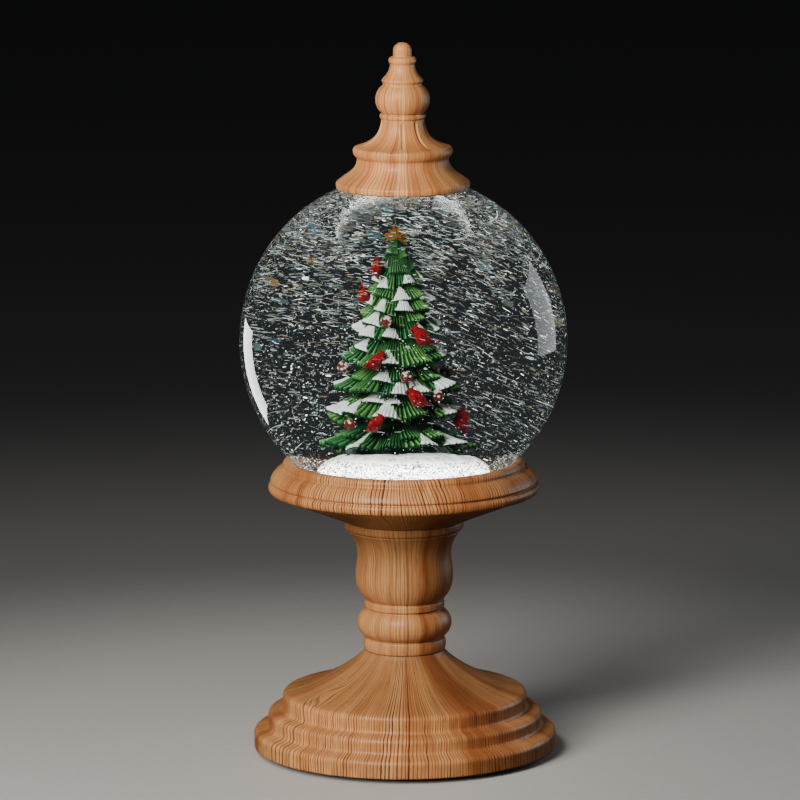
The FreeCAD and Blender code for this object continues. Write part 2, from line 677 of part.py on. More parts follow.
def snow_mound():
    """Low round heap with a hole for the tree's peg."""
    heap = Outline(0, PLATFORM_TOP).line((PLATFORM_R - 0.3, PLATFORM_TOP))
    heap.curve((PLATFORM_R - 0.6, PLATFORM_TOP + 2.2), (23.6, 129.6), (20.0, 131.6),
               (14.0, MOUND_TOP - 0.1), (10.0, MOUND_TOP))
    heap.line((0, MOUND_TOP))
    return heap.spin().cut(cylinder(PEG_R + 0.05, MOUND_TOP - 4.1, MOUND_TOP + 1, TREE_X, 0))


def water_fill():
    """The liquid between the glass and the figure, down to the platform's foot."""
    gap = -GLOBE_WALL - 0.2
    foot = PLATFORM_BOTTOM + 0.2
    room = PLATFORM_R + 2.6
    section = Outline(0, GLOBE_Z + GLOBE_RZ + gap)
    section.globe_arc(gap, globe_r(foot, gap), False)
    section.line((room - 2.0, foot), (room - 2.0, 133.5), (room, 134.5), (room - 3.0, 148.0),
                 (room - 6.5, 163.0), (19.5, 181.0), (16.5, 197.0), (9.6, 206.0), (0, 206.0))
    return section.spin()


# ---- finial ---------------------------------------------------------------------------------

STUD_R = 2.0
FLUTES = 10


def finial_cap():
    """Bell, shoulder and fluted neck, hollowed to sit on the glass."""
    clear = 0.15
    rim_r = 25.0
    section = Outline(rim_r, globe_z(rim_r, clear))
    section.arc((26.5, 228.8), (25.4, 230.2))
    section.curve((22.6, 232.0), (19.9, 233.8), (18.4, 236.0), (18.0, 238.9))
    section.arc((19.7, 241.6), (18.2, 243.2))
    section.curve((14.2, 244.9), (10.9, 247.4), (9.0, 250.6), (8.3, CAP_TOP))
    section.line((STUD_R + 0.05, CAP_TOP), (STUD_R + 0.05, 243.0), (0, 243.0), (0, 240.0), (15.0, 238.0))
    section.curve((16.4, 234.6), (19.0, globe_z(19.0, 1.6)))
    section.line((19.0, globe_z(19.0, clear)))
    section.globe_arc(clear, rim_r, True)
    cap = section.spin()
    for x, y in around(FLUTES, 1.0):
        cap = cap.cut(flute(math.degrees(math.atan2(x, -y))))
    return cap


def flute(turn):
    """One groove down the neck and out over the shoulder, as a bent round bar."""
    bend = Part.BSplineCurve()
    bend.interpolate([V(8.75, 0, 253.0), V(9.4, 0, 250.6), V(11.1, 0, 247.8), V(14.3, 0, 245.3),
                      V(17.6, 0, 244.3)])
    path = Part.Wire(bend.toShape())
    start = Part.Wire(Part.Circle(V(8.75, 0, 253.0), V(0.27, 0, -0.96), 0.55).toShape())
    bar = path.makePipeShell([start], True, True)
    bar.rotate(ORIGIN, Z_AXIS, turn - 90)
    return bar


# The finial's ball, from its lower ring to its upper one
FINIAL_BALL = [(9.65, 258.56), (10.49, 260.45), (10.75, 262.5), (10.41, 264.53), (9.5, 266.39),
               (8.1, 267.9)]


def finial_spire():
    """Ring, ball, stepped cone, bead and rounded tip, turned as one piece."""
    section = Outline(0, CAP_TOP).line((8.6, CAP_TOP)).arc((9.0, 255.8), (8.6, 256.8)).line((8.3, 257.0))
    section.curve(*FINIAL_BALL).line((7.8, 268.4), (7.8, 269.2)).arc((8.2, 270.0), (7.6, 270.9))
    section.curve((6.0, 273.0), (4.9, 275.4), (4.8, 276.3)).arc((5.4, 277.8), (4.7, 279.0))
    section.line((3.7, 279.3))
    section.line((3.7, 281.0)).curve((3.45, 282.9), (2.5, 284.3), (1.2, 284.85), (0, 284.95))
    section.line((0, 264.0), (STUD_R + 0.05, 264.0), (STUD_R + 0.05, CAP_TOP))
    return section.spin()


def cap_silicone():
    """Bead of silicone inside the cap, on the glass."""
    r_in, r_out, lift = 15.6, 18.9, 0.03
    bead = Outline(r_in, globe_z(r_in, lift)).globe_arc(lift, r_out, True)
    return bead.line((r_out, globe_z(r_out) + 1.2), (r_in, globe_z(r_in) + 1.0)).spin()


def seat_silicone():
    """Bead of silicone under the tray's lip, between the tray and the glass."""
    low, high, lift = 113.3, 114.4, 0.03
    bead = Outline(globe_r(low, lift), low).globe_arc(lift, globe_r(high, lift), False)
    return bead.line((41.6, high), (44.0, low)).spin()


def build():
    keep("base_shell", base_shell())
    keep("base_plate", base_plate())
    keep("base_plate_screws", *[screw(x, y, PLATE_BOTTOM, 9.0, head_h=1.6)
                                for x, y in around(4, PLATE_SCREW_RING, PLATE_SCREW_TURN)])
    keep("rubber_feet", *[rubber_foot(x, y) for x, y in around(4, FOOT_RING, FOOT_TURN)])
    keep("battery_box", battery_box())
    for i, row in enumerate((-1, 0, 1)):
        way = 1 if row == 0 else -1
        keep(f"aa_cell_{i + 1}", aa_cell(row * CELL_PITCH, way))
    keep("cell_springs", *[cell_spring(row * CELL_PITCH, 1 if row else -1) for row in (-1, 0, 1)])
    keep("cell_contacts", *cell_contacts())
    keep("battery_door", battery_door())
    keep("door_screw", screw(DOOR_SCREW_X, 0, PLATE_BOTTOM + 1.1, 3.4, head_h=1.0, shank_r=1.1))
    keep("switch_body", switch_body())
    keep("switch_slider", switch_slider())
    keep("switch_screws", *[screw(s * SWITCH_SCREW_X, SWITCH_Y, PLATE_BOTTOM, 4.6, head_h=1.2, head_r=2.0,
                                  shank_r=1.0) for s in (-1, 1)])
    keep("control_board", control_board())
    keep("board_components", *board_components())
    keep("wire_loom", tube_along(LOOM_ROUTE, LOOM_R))
    keep("pedestal_column", pedestal_column())
    keep("column_screws", *[screw(x, y, BASE_TOP - 3.0, 6.5) for x, y in around(3, COLUMN_SCREW_RING)])
    keep("globe_tray", globe_tray())
    keep("tray_screws", *[screw(x, y, TRAY_FLOOR, 7.0, up=False)
                          for x, y in around(3, TRAY_SCREW_RING, 60)])
    keep("drive_motor", drive_motor())
    keep("motor_sleeve", ring(MOTOR_R + 0.02, SLEEVE_R, MOTOR_BOTTOM, 99.0))
    keep("motor_shaft", cylinder(SHAFT_R, MOTOR_BOTTOM + 6.1, CARRIER_TOP - 0.9))
    keep("magnet_carrier", magnet_carrier())
    keep("drive_magnets", *[cylinder(3.45, CARRIER_POCKET + 0.05, CARRIER_TOP - 0.05, x, y)
                            for x, y in around(2, MAGNET_RING, 90)])
    keep("led_board", led_board())
    keep("leds", *[led(x, y) for x, y in around(4, LED_RING, 15)])
    keep("led_board_screws", *[screw(x, y, LED_BOARD_Z + LED_BOARD_THICK, 4.0, up=False, head_h=1.2,
                                     head_r=1.9, shank_r=0.85) for x, y in around(3, LED_POST_RING)])
    keep("glass_globe", glass_globe())
    keep("seat_silicone", seat_silicone())
    keep("stopper", stopper())
    keep("stopper_gasket", ring(STOPPER_R + 0.1, NECK_R + 0.2, STOPPER_BOTTOM + STOPPER_FLANGE, NECK_END))
    keep("impeller_pin", cylinder(PUMP_PIN_R - 0.01, MEMBRANE_TOP + 0.05, 117.6))
    keep("impeller", impeller())
    keep("impeller_magnets", *[cylinder(3.0, IMPELLER_BOTTOM + 0.05, IMPELLER_BOTTOM + 1.95, x, y)
                               for x, y in around(2, MAGNET_RING, 90)])
    keep("impeller_housing", impeller_housing())
    keep("snow_platform", snow_platform())
    keep("snow_mound", snow_mound())
    birds = [bird(*b) for b in BIRDS]
    cones = [pinecone(*c) for c in PINECONES]
    keep("tree", largest(tree().cut(Part.makeCompound(birds + cones))))
    keep("tree_star", tree_star())
    for i, shape in enumerate(birds):
        keep(f"cardinal_{i + 1}", shape)
    keep("pinecones", *cones)
    keep("water_fill", water_fill())
    keep("finial_cap", finial_cap())
    keep("cap_silicone", cap_silicone())
    keep("finial_stud", cylinder(STUD_R, 243.1, 263.9))
    keep("finial_spire", finial_spire())


def export():
    os.makedirs("parts", exist_ok=True)
    for name, shape in PARTS.items():
        count = len(shape.Solids)
        print(f"{name:20s} solids {count:2d} valid {shape.isValid()} volume {shape.Volume:10.1f}")
        shape.exportStep(f"parts/{name}.step")


build()
export()
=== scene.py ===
import json
import math
import random

import bmesh
import bpy
from mathutils import Matrix, Vector, noise


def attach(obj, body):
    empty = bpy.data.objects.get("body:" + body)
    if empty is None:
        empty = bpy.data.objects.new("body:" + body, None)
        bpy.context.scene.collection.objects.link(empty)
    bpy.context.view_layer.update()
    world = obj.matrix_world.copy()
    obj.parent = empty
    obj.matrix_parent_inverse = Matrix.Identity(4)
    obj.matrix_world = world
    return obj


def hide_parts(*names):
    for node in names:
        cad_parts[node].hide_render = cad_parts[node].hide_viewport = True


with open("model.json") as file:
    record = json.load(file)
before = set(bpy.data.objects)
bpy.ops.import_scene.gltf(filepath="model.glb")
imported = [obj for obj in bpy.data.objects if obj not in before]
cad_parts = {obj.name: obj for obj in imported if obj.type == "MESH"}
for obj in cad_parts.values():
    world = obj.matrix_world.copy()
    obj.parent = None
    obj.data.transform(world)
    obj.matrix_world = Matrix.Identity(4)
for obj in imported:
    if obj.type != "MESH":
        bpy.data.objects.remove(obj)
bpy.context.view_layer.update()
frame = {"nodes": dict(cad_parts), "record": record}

# Lengths are in millimetres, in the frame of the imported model, and become metres in mesh_piece().
MM = 0.001
GLOBE_Z = 166.35
GLOBE_R = 65.0
GLOBE_RZ = 65.7
GLASS_WALL = 2.5
INNER_R = GLOBE_R - GLASS_WALL
INNER_RZ = GLOBE_RZ - GLASS_WALL
TREE_X = -2.0
HEAP_FOOT = 124.6
BODY = "pedestal"


# ---- shader helpers ----


def add(tree, kind, ins=None, **settings):
    """Adds a shader node. A value in ins that is a socket is linked, any other is set."""
    node = tree.nodes.new("ShaderNode" + kind)
    for key, value in settings.items():
        setattr(node, key, value)
    for key, value in (ins or {}).items():
        if isinstance(value, bpy.types.NodeSocket):
            tree.links.new(value, node.inputs[key])
        else:
            node.inputs[key].default_value = value
    return node


def calc(tree, operation, *values):
    return add(tree, "Math", dict(enumerate(values)), operation=operation).outputs[0]


def times(tree, a, b):
    return calc(tree, "MULTIPLY", a, b)


def times_plus(tree, a, b, c):
    return calc(tree, "MULTIPLY_ADD", a, b, c)


def span(tree, value, low, high, at_low=0.0, at_high=1.0, kind="LINEAR"):
    """A value that runs from at_low to at_high between the heights low and high, in millimetres."""
    ends = {"From Min": low * MM, "From Max": high * MM, "To Min": at_low, "To Max": at_high}
    node = add(tree, "MapRange", {"Value": value, **ends}, interpolation_type=kind)
    return node.outputs["Result"]


def ramp(tree, fac, *stops, smooth=False):
    """A colour ramp. Each stop is (position, grey level or colour)."""
    node = add(tree, "ValToRGB", {"Fac": fac})
    node.color_ramp.interpolation = "EASE" if smooth else "LINEAR"
    marks = node.color_ramp.elements
    while len(marks) < len(stops):
        marks.new(0.5)
    for mark, (position, colour) in zip(marks, stops):
        grey = not isinstance(colour, tuple)
        mark.position = position
        mark.color = (colour, colour, colour, 1) if grey else (*colour, 1)
    return node.outputs["Color"]


def blend(tree, fac, a, b, kind="MIX"):
    node = add(tree, "Mix", data_type="RGBA", blend_type=kind, clamp_factor=True)
    for index, value in ((0, fac), (6, a), (7, b)):
        if isinstance(value, bpy.types.NodeSocket):
            tree.links.new(value, node.inputs[index])
        elif index == 0:
            node.inputs[0].default_value = value
        else:
            node.inputs[index].default_value = (*value, 1)
    return node.outputs[2]


def cloud(tree, vector, scale, detail=3.0, roughness=0.5):
    looks = {"Vector": vector, "Scale": scale, "Detail": detail, "Roughness": roughness}
    return add(tree, "TexNoise", looks).outputs["Fac"]


def material(name):
    """A new material with its tree, its Principled shader and object coordinates."""
    made = bpy.data.materials.new(name)
    made.use_nodes = True
    tree = made.node_tree
    where = add(tree, "TexCoord").outputs["Object"]
    return made, tree, tree.nodes["Principled BSDF"], where


def bump(tree, shader, height, distance, strength=1.0):
    node = add(tree, "Bump", {"Height": height, "Distance": distance, "Strength": strength})
    tree.links.new(node.outputs["Normal"], shader.inputs["Normal"])


def feed(tree, shader, **inputs):
    for key, value in inputs.items():
        name = key.replace("_", " ")
        if isinstance(value, bpy.types.NodeSocket):
            tree.links.new(value, shader.inputs[name])
        else:
            shader.inputs[name].default_value = value


# ---- materials ----


CALM_ANGLE = -0.90
CALM_WIDTH = 0.42
BAND_WIDTH = 0.13
KNOT_SIZE = 8.5
KNOT_PULL = 4.2


def wood(name, lines, level, calm=0.0, knot=None, band=None, drift=4.5, lean=450.0, dark_share=1.0, pale=1.0,
         height_shade=None):
    """Printed wood grain that runs down the turned profile: uneven lines round Z, one by one.

    calm thins the lines out on the left of the front, knot is the centre of an oval there, and band is the
    angle of a dark zone. level is the height where the lines' lean is nil. The last argument is two heights
    and the share of brightness below the first and above the second: painted shade by height, where the tray
    and globe shade the wood. pale multiplies the whole tone, and above 1 it is painted light.
    """
    made, tree, shader, where = material(name)
    axes = add(tree, "SeparateXYZ", {0: where}).outputs
    back = times(tree, axes["Y"], -1.0)
    angle = calc(tree, "ARCTAN2", axes["X"], back)
    around = add(tree, "CombineXYZ", {"X": times(tree, calc(tree, "COSINE", angle), 0.05),
                                      "Y": times(tree, calc(tree, "SINE", angle), 0.05),
                                      "Z": times(tree, axes["Z"], 0.12)}).outputs[0]
    ends = [math.tanh((math.pi + side * CALM_ANGLE) / CALM_WIDTH) for side in (-1, 1)]
    lost = calm * CALM_WIDTH * sum(ends)
    whole = round(lines * (1 - lost / (2 * math.pi)))
    per_radian = whole / (2 * math.pi - lost)
    eased = calc(tree, "TANH", calc(tree, "DIVIDE", calc(tree, "SUBTRACT", angle, CALM_ANGLE), CALM_WIDTH))
    phase = times(tree, angle, per_radian)
    phase = times_plus(tree, eased, -calm * CALM_WIDTH * per_radian, phase)
    phase = times_plus(tree, cloud(tree, around, 26.0, 1.0), 0.055 * lines, phase)
    phase = times_plus(tree, cloud(tree, where, 17.0, 2.0, 0.45), drift, phase)
    phase = times_plus(tree, cloud(tree, where, 85.0, 2.0, 0.5), 0.45, phase)
    tilt = times(tree, calc(tree, "SUBTRACT", cloud(tree, around, 44.0, 1.0), 0.5), lean)
    phase = times_plus(tree, calc(tree, "SUBTRACT", axes["Z"], level * MM), tilt, phase)
    if knot:
        apart = add(tree, "VectorMath", {0: where, 1: [v * MM for v in knot]}, operation="DISTANCE")
        near = calc(tree, "POWER", calc(tree, "DIVIDE", apart.outputs["Value"], KNOT_SIZE * MM), 2.0)
        pull = calc(tree, "EXPONENT", times(tree, near, -1.0))
        phase = times_plus(tree, pull, KNOT_PULL, phase)
    ring = calc(tree, "FRACT", phase)
    number = calc(tree, "FLOORED_MODULO", calc(tree, "FLOOR", phase), float(whole))
    own = add(tree, "TexWhiteNoise", {"W": number}, noise_dimensions="1D")
    own = add(tree, "SeparateColor", {0: own.outputs["Color"]}).outputs
    ring = calc(tree, "POWER", ring, times_plus(tree, own["Red"], 1.4, 0.7))
    late = ramp(tree, ring, (0.0, 0.0), (0.42, 0.0), (0.64, 0.62), (0.82, 0.95), (0.92, 0.7), (1.0, 0.0))
    depth = ramp(tree, cloud(tree, around, 34.0, 2.0, 0.5), (0.34, 0.62), (0.48, 0.95), (0.62, 1.2))
    depth = times(tree, depth, times_plus(tree, own["Green"], 0.8, 0.40))
    streak = cloud(tree, around, 62.0, 3.0, 0.6)
    if band is not None:
        off = calc(tree, "POWER", calc(tree, "DIVIDE", calc(tree, "SUBTRACT", angle, band), BAND_WIDTH), 2.0)
        zone = calc(tree, "EXPONENT", times(tree, off, -1.0))
        depth = times_plus(tree, zone, 0.5, depth)
        streak = times_plus(tree, zone, -0.13, streak)
    late = times(tree, late, times(tree, depth, dark_share))
    fibre = cloud(tree, around, 900.0, 3.0, 0.7)
    tan = ramp(tree, streak, (0.30, (0.330, 0.098, 0.026)), (0.43, (0.510, 0.200, 0.064)),
               (0.56, (0.640, 0.290, 0.102)), (0.72, (0.760, 0.385, 0.150)))
    # Painted light: pale above 1 lifts the whole tone of the cap and spire, which catch the light from above.
    if pale != 1.0:
        tan = blend(tree, 1.0, tan, tuple(c * pale for c in (1.0, 1.03, 1.06)), "MULTIPLY")
    dark = blend(tree, streak, (0.060, 0.010, 0.006), (0.140, 0.024, 0.010))
    lined = blend(tree, late, tan, dark)
    fine = ramp(tree, fibre, (0.28, 0.50), (0.50, 1.0), (0.78, 1.24))
    colour = blend(tree, 0.85, lined, fine, "MULTIPLY")
    shade = ramp(tree, cloud(tree, where, 30.0, 3.0, 0.6), (0.3, 0.80), (0.7, 1.08))
    colour = blend(tree, 1.0, colour, shade, "MULTIPLY")
    # Painted shade: the wood is darkened by height where the tray and globe shade it.
    if height_shade:
        low, high, below, above = height_shade
        colour = blend(tree, 1.0, colour, span(tree, axes["Z"], low, high, below, above), "MULTIPLY")
    gloss = ramp(tree, cloud(tree, where, 260.0, 3.0, 0.6), (0.3, 0.38), (0.7, 0.52))
    height = calc(tree, "SUBTRACT", times(tree, fibre, 0.5), times(tree, late, 0.5))
    feed(tree, shader, Base_Color=colour, Roughness=gloss, Coat_Weight=0.10, Coat_Roughness=0.3,
         Specular_IOR_Level=0.4)
    bump(tree, shader, height, 0.05 * MM, 0.6)
    return made


def see_through(name, ior, tint):
    """Clear glass or liquid that lamps and bounced light pass straight through."""
    made, tree, shader, _ = material(name)
    tree.nodes.remove(shader)
    glass = add(tree, "BsdfGlass", {"Color": (*tint, 1), "Roughness": 0.0, "IOR": ior})
    clear = add(tree, "BsdfTransparent", {"Color": (*tint, 1)})
    path = add(tree, "LightPath").outputs
    lamp = calc(tree, "MAXIMUM", path["Is Shadow Ray"], path["Is Diffuse Ray"])
    mix = add(tree, "MixShader", {0: lamp, 1: glass.outputs[0], 2: clear.outputs[0]})
    tree.links.new(mix.outputs[0], tree.nodes["Material Output"].inputs["Surface"])
    return made


def glowing_snow(name, low, high, bright, dim, clean):
    """White resin lit from below: bright at the height low, dim at high, and specked above clean."""
    made, tree, shader, where = material(name)
    height = add(tree, "SeparateXYZ", {0: where}).outputs["Z"]
    glow = span(tree, height, low, high, bright, dim, "SMOOTHSTEP")
    patch = ramp(tree, cloud(tree, where, 300.0, 5.0, 0.7), (0.36, (0.52, 0.53, 0.52)),
                 (0.55, (0.88, 0.89, 0.88)))
    speck_cells = add(tree, "TexVoronoi", {"Vector": where, "Scale": 480.0})
    speck = ramp(tree, speck_cells.outputs["Distance"], (0.24, 1.0), (0.36, 0.0))
    chance = ramp(tree, cloud(tree, where, 500.0, 2.0), (0.47, 0.0), (0.53, 1.0))
    speck = times(tree, speck, times(tree, chance, span(tree, height, clean, clean + 1.5)))
    colour = blend(tree, times(tree, speck, 0.9), patch, (0.16, 0.17, 0.16))
    feed(tree, shader, Base_Color=colour, Roughness=0.8, Emission_Color=colour,
         Emission_Strength=glow, Subsurface_Weight=0.1, Subsurface_Scale=0.002)
    bump(tree, shader, cloud(tree, where, 800.0, 4.0, 0.7), 0.25 * MM, 0.5)
    return made


def painted_tree():
    """Carved needles with painted shade in the grooves and a painted highlight on the ridges, and snow where
    the paint layer says so.
    """
    made, tree, shader, where = material("tree_paint")
    paint = add(tree, "VertexColor", layer_name="paint").outputs["Color"]
    part = add(tree, "SeparateColor", {0: paint}).outputs
    rough_edge = cloud(tree, where, 900.0, 3.0, 0.7)
    ridge = calc(tree, "ADD", part["Green"], times_plus(tree, rough_edge, 0.5, -0.25))
    # The darkest green is painted shade and the lightest a painted highlight, chosen by the green channel.
    shaded_green = blend(tree, part["Blue"], (0.002, 0.018, 0.008), (0.005, 0.036, 0.012))
    leaf = blend(tree, part["Blue"], (0.015, 0.120, 0.035), (0.080, 0.250, 0.045))
    light = blend(tree, part["Blue"], (0.16, 0.42, 0.19), (0.42, 0.66, 0.26))
    green = blend(tree, ramp(tree, ridge, (0.18, 0.0), (0.55, 1.0)), shaded_green, leaf)
    green = blend(tree, ramp(tree, ridge, (0.62, 0.0), (0.95, 0.85)), green, light)
    snow = calc(tree, "ADD", part["Red"], times_plus(tree, rough_edge, 0.6, -0.3))
    snow = ramp(tree, snow, (0.42, 0.0), (0.56, 1.0))
    # The snow is greyed where the green channel is low: painted shade in the grooves.
    line = ramp(tree, part["Green"], (0.0, (0.50, 0.55, 0.53)), (0.30, (0.84, 0.86, 0.86)),
                (0.7, (0.95, 0.96, 0.96)))
    colour = blend(tree, snow, green, line)
    feed(tree, shader, Base_Color=colour, Roughness=ramp(tree, snow, (0.0, 0.36), (1.0, 0.62)),
         Specular_IOR_Level=0.5)
    bump(tree, shader, cloud(tree, where, 1500.0, 3.0, 0.6), 0.08 * MM, 0.6)
    return made


def painted_figure(name, roughness=0.5):
    """Paint from the piece's own colour layer, mottled like brushed paint on cast resin."""
    made, tree, shader, where = material(name)
    paint = add(tree, "VertexColor", layer_name="paint").outputs["Color"]
    mottle = ramp(tree, cloud(tree, where, 1100.0, 4.0, 0.7), (0.30, 0.45), (0.55, 1.0), (0.72, 1.5))
    colour = blend(tree, 1.0, paint, mottle, "MULTIPLY")
    feed(tree, shader, Base_Color=colour, Roughness=roughness)
    bump(tree, shader, cloud(tree, where, 1600.0, 3.0, 0.7), 0.22 * MM, 0.9)
    return made


def gold_paint():
    made, tree, shader, where = material("star_gold_paint")
    worn = cloud(tree, where, 700.0, 4.0, 0.65)
    colour = ramp(tree, worn, (0.30, (0.11, 0.045, 0.010)), (0.55, (0.38, 0.18, 0.040)),
                  (0.72, (0.62, 0.36, 0.10)))
    feed(tree, shader, Base_Color=colour, Roughness=ramp(tree, worn, (0.3, 0.5), (0.7, 0.3)), Metallic=0.55)
    bump(tree, shader, cloud(tree, where, 1500.0, 3.0), 0.06 * MM)
    return made


def foil_material():
    """Big dull leaves of coloured foil far back in the liquid, patchy like worn film, with a faint painted
    glow from emission.
    """
    made, tree, shader, where = material("dull_foil")
    chance = add(tree, "NewGeometry").outputs["Random Per Island"]
    tint = ramp(tree, chance, (0.0, (0.03, 0.07, 0.12)), (0.3, (0.06, 0.13, 0.15)), (0.5, (0.10, 0.14, 0.12)),
                (0.7, (0.16, 0.15, 0.11)), (0.85, (0.22, 0.13, 0.04)), (1.0, (0.12, 0.14, 0.15)))
    worn = ramp(tree, cloud(tree, where, 900.0, 3.0, 0.6), (0.35, 0.3), (0.65, 1.3))
    colour = blend(tree, 1.0, tint, worn, "MULTIPLY")
    # Emission at 0.25 is a faint painted glow.
    feed(tree, shader, Base_Color=colour, Roughness=0.5, Emission_Color=colour, Emission_Strength=0.25)
    return made


def flake_material():
    """Cut film: most flakes dull grey, a few bright, and some tinted blue, teal or amber like foil. They glow
    by emission as painted light: faintly on the tinted and grey ones, strongly on the brightest as painted
    glints.
    """
    made, tree, shader, _ = material("flake_film")
    chance = add(tree, "NewGeometry").outputs["Random Per Island"]
    grey = ramp(tree, chance, (0.0, (0.10, 0.22, 0.34)), (0.12, (0.16, 0.30, 0.33)),
                (0.20, (0.22, 0.34, 0.30)), (0.24, (0.42, 0.26, 0.10)), (0.30, (0.36, 0.30, 0.20)),
                (0.36, (0.24, 0.26, 0.25)), (0.70, (0.38, 0.42, 0.40)), (0.90, (0.85, 0.88, 0.86)),
                (1.0, (0.95, 0.97, 0.95)))
    # Painted light: emission that makes the brightest flakes glint and the tinted ones glow faintly.
    glow = ramp(tree, chance, (0.0, 0.14), (0.36, 0.0), (0.78, 0.06), (0.93, 0.9), (1.0, 2.6))
    feed(tree, shader, Base_Color=grey, Roughness=0.35, Emission_Color=grey, Emission_Strength=glow)
    return made


def plain_stuff(name, colour, roughness, metallic, scale, depth, contrast=0.12, clear=0.0):
    """Moulded plastic, rubber or metal with a mottled tone, uneven gloss and a fine surface."""
    made, tree, shader, where = material(name)
    tone = cloud(tree, where, scale, 4.0, 0.6)
    low = tuple(c * (1 - contrast) for c in colour)
    high = tuple(min(1.0, c * (1 + contrast)) for c in colour)
    mottled = ramp(tree, tone, (0.3, low), (0.7, high))
    uneven = cloud(tree, where, scale * 2.3, 3.0)
    uneven = ramp(tree, uneven, (0.3, roughness * 0.85), (0.7, roughness * 1.15))
    feed(tree, shader, Base_Color=mottled, Roughness=uneven, Metallic=metallic, Transmission_Weight=clear)
    bump(tree, shader, cloud(tree, where, scale * 4.0, 3.0, 0.6), depth * MM, 0.6)
    return made


# ---- mesh helpers ----


def mesh_piece(name, points, faces, stuff, sharp_deg=38.0, paint=None):
    """A closed mesh from points in millimetres, shaded smooth except over sharp edges."""
    mesh = bpy.data.meshes.new(name)
    mesh.from_pydata([(x * MM, y * MM, z * MM) for x, y, z in points], [], faces)
    if paint:
        layer = mesh.color_attributes.new("paint", "FLOAT_COLOR", "POINT")
        for i, colour in enumerate(paint):
            layer.data[i].color = (*colour, 1.0)
    work = bmesh.new()
    work.from_mesh(mesh)
    bmesh.ops.remove_doubles(work, verts=work.verts, dist=1e-6)
    bmesh.ops.recalc_face_normals(work, faces=work.faces)
    limit = math.radians(sharp_deg)
    for face in work.faces:
        face.smooth = True
    for edge in work.edges:
        edge.smooth = len(edge.link_faces) != 2 or edge.calc_face_angle(0.0) < limit
    work.to_mesh(mesh)
    work.free()
    made = bpy.data.objects.new(name, mesh)
    bpy.context.scene.collection.objects.link(made)
    mesh.materials.append(stuff)
    return made


class Section:
    """Half a turned piece's section as points (radius, height), sampled from lines and arcs."""

    def __init__(self, r, z):
        self.points = [(r, z)]

    def line(self, *points):
        self.points += points
        return self

    def arc(self, middle, end, steps=10):
        """Through middle to end, on the circle that the three points share."""
        (ax, ay), (bx, by), (cx, cy) = self.points[-1], middle, end
        d = 2 * (ax * (by - cy) + bx * (cy - ay) + cx * (ay - by))
        a2, b2, c2 = ax * ax + ay * ay, bx * bx + by * by, cx * cx + cy * cy
        ux = (a2 * (by - cy) + b2 * (cy - ay) + c2 * (ay - by)) / d
        uy = (a2 * (cx - bx) + b2 * (ax - cx) + c2 * (bx - ax)) / d
        start = math.atan2(ay - uy, ax - ux)
        full = 2 * math.pi
        to_mid = (math.atan2(by - uy, bx - ux) - start) % full
        to_end = (math.atan2(cy - uy, cx - ux) - start) % full
        if to_mid > to_end:
            to_end -= full
        radius = math.hypot(ax - ux, ay - uy)
        for i in range(1, steps + 1):
            a = start + to_end * i / steps
            self.points.append((ux + radius * math.cos(a), uy + radius * math.sin(a)))
        return self

    def curve(self, *points, steps=7):
        """A smooth curve through the points, starting at the last one."""
        knots = [self.points[-1], *points]
        ends = [tuple(2 * a - b for a, b in zip(knots[0], knots[1])),
                tuple(2 * a - b for a, b in zip(knots[-1], knots[-2]))]
        knots = [ends[0], *knots, ends[1]]
        for p0, p1, p2, p3 in zip(knots, knots[1:], knots[2:], knots[3:]):
            for i in range(1, steps + 1):
                t = i / steps
                self.points.append(tuple(
                    0.5 * (2 * b + (c - a) * t + (2 * a - 5 * b + 4 * c - d) * t * t
                           + (3 * b - a - 3 * c + d) * t ** 3)
                    for a, b, c, d in zip(p0, p1, p2, p3)))
        return self


def ellipse_points(grow, z_from, z_to, count):
    """Points down or up the globe's ellipse, grown outwards by grow."""
    a, b = GLOBE_R + grow, GLOBE_RZ + grow
    start, end = (math.asin(max(-1.0, min(1.0, (z - GLOBE_Z) / b))) for z in (z_from, z_to))
    steps = (start + (end - start) * i / count for i in range(count + 1))
    return [(abs(a * math.cos(t)), GLOBE_Z + b * math.sin(t)) for t in steps]


def lathe(name, outline, stuff, segments=192, shape=None, sharp_deg=38.0):
    """Spins a closed outline about Z. shape(r, z, angle) may move each point's radius and height."""
    points, faces = [], []
    count = len(outline)
    for i in range(segments):
        a = 2 * math.pi * i / segments
        for r, z in outline:
            if shape:
                r, z = shape(r, z, a)
            points.append((r * math.sin(a), -r * math.cos(a), z))
    for i in range(segments):
        j = (i + 1) % segments
        for k in range(count):
            n = (k + 1) % count
            if outline[k][0] < 1e-9 and outline[n][0] < 1e-9:
                continue
            faces.append((i * count + k, j * count + k, j * count + n, i * count + n))
    return mesh_piece(name, points, faces, stuff, sharp_deg)


def band_faces(start, rings, count):
    """Quads between rings of count points that follow one another from the index start."""
    return [(low + i, low + (i + 1) % count, low + count + (i + 1) % count, low + count + i)
            for low in range(start, start + (rings - 1) * count, count) for i in range(count)]


def round_tree(turn, out, z):
    """The point at the distance out from the tree's axis, turned from the front towards +X."""
    return Vector((TREE_X + out * math.sin(turn), -out * math.cos(turn), z))


def settle(piece, slot, *nodes, body=BODY):
    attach(piece, body)
    if nodes:
        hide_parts(*nodes)
    return piece


# ---- the wood-look pedestal, cap and finial ----


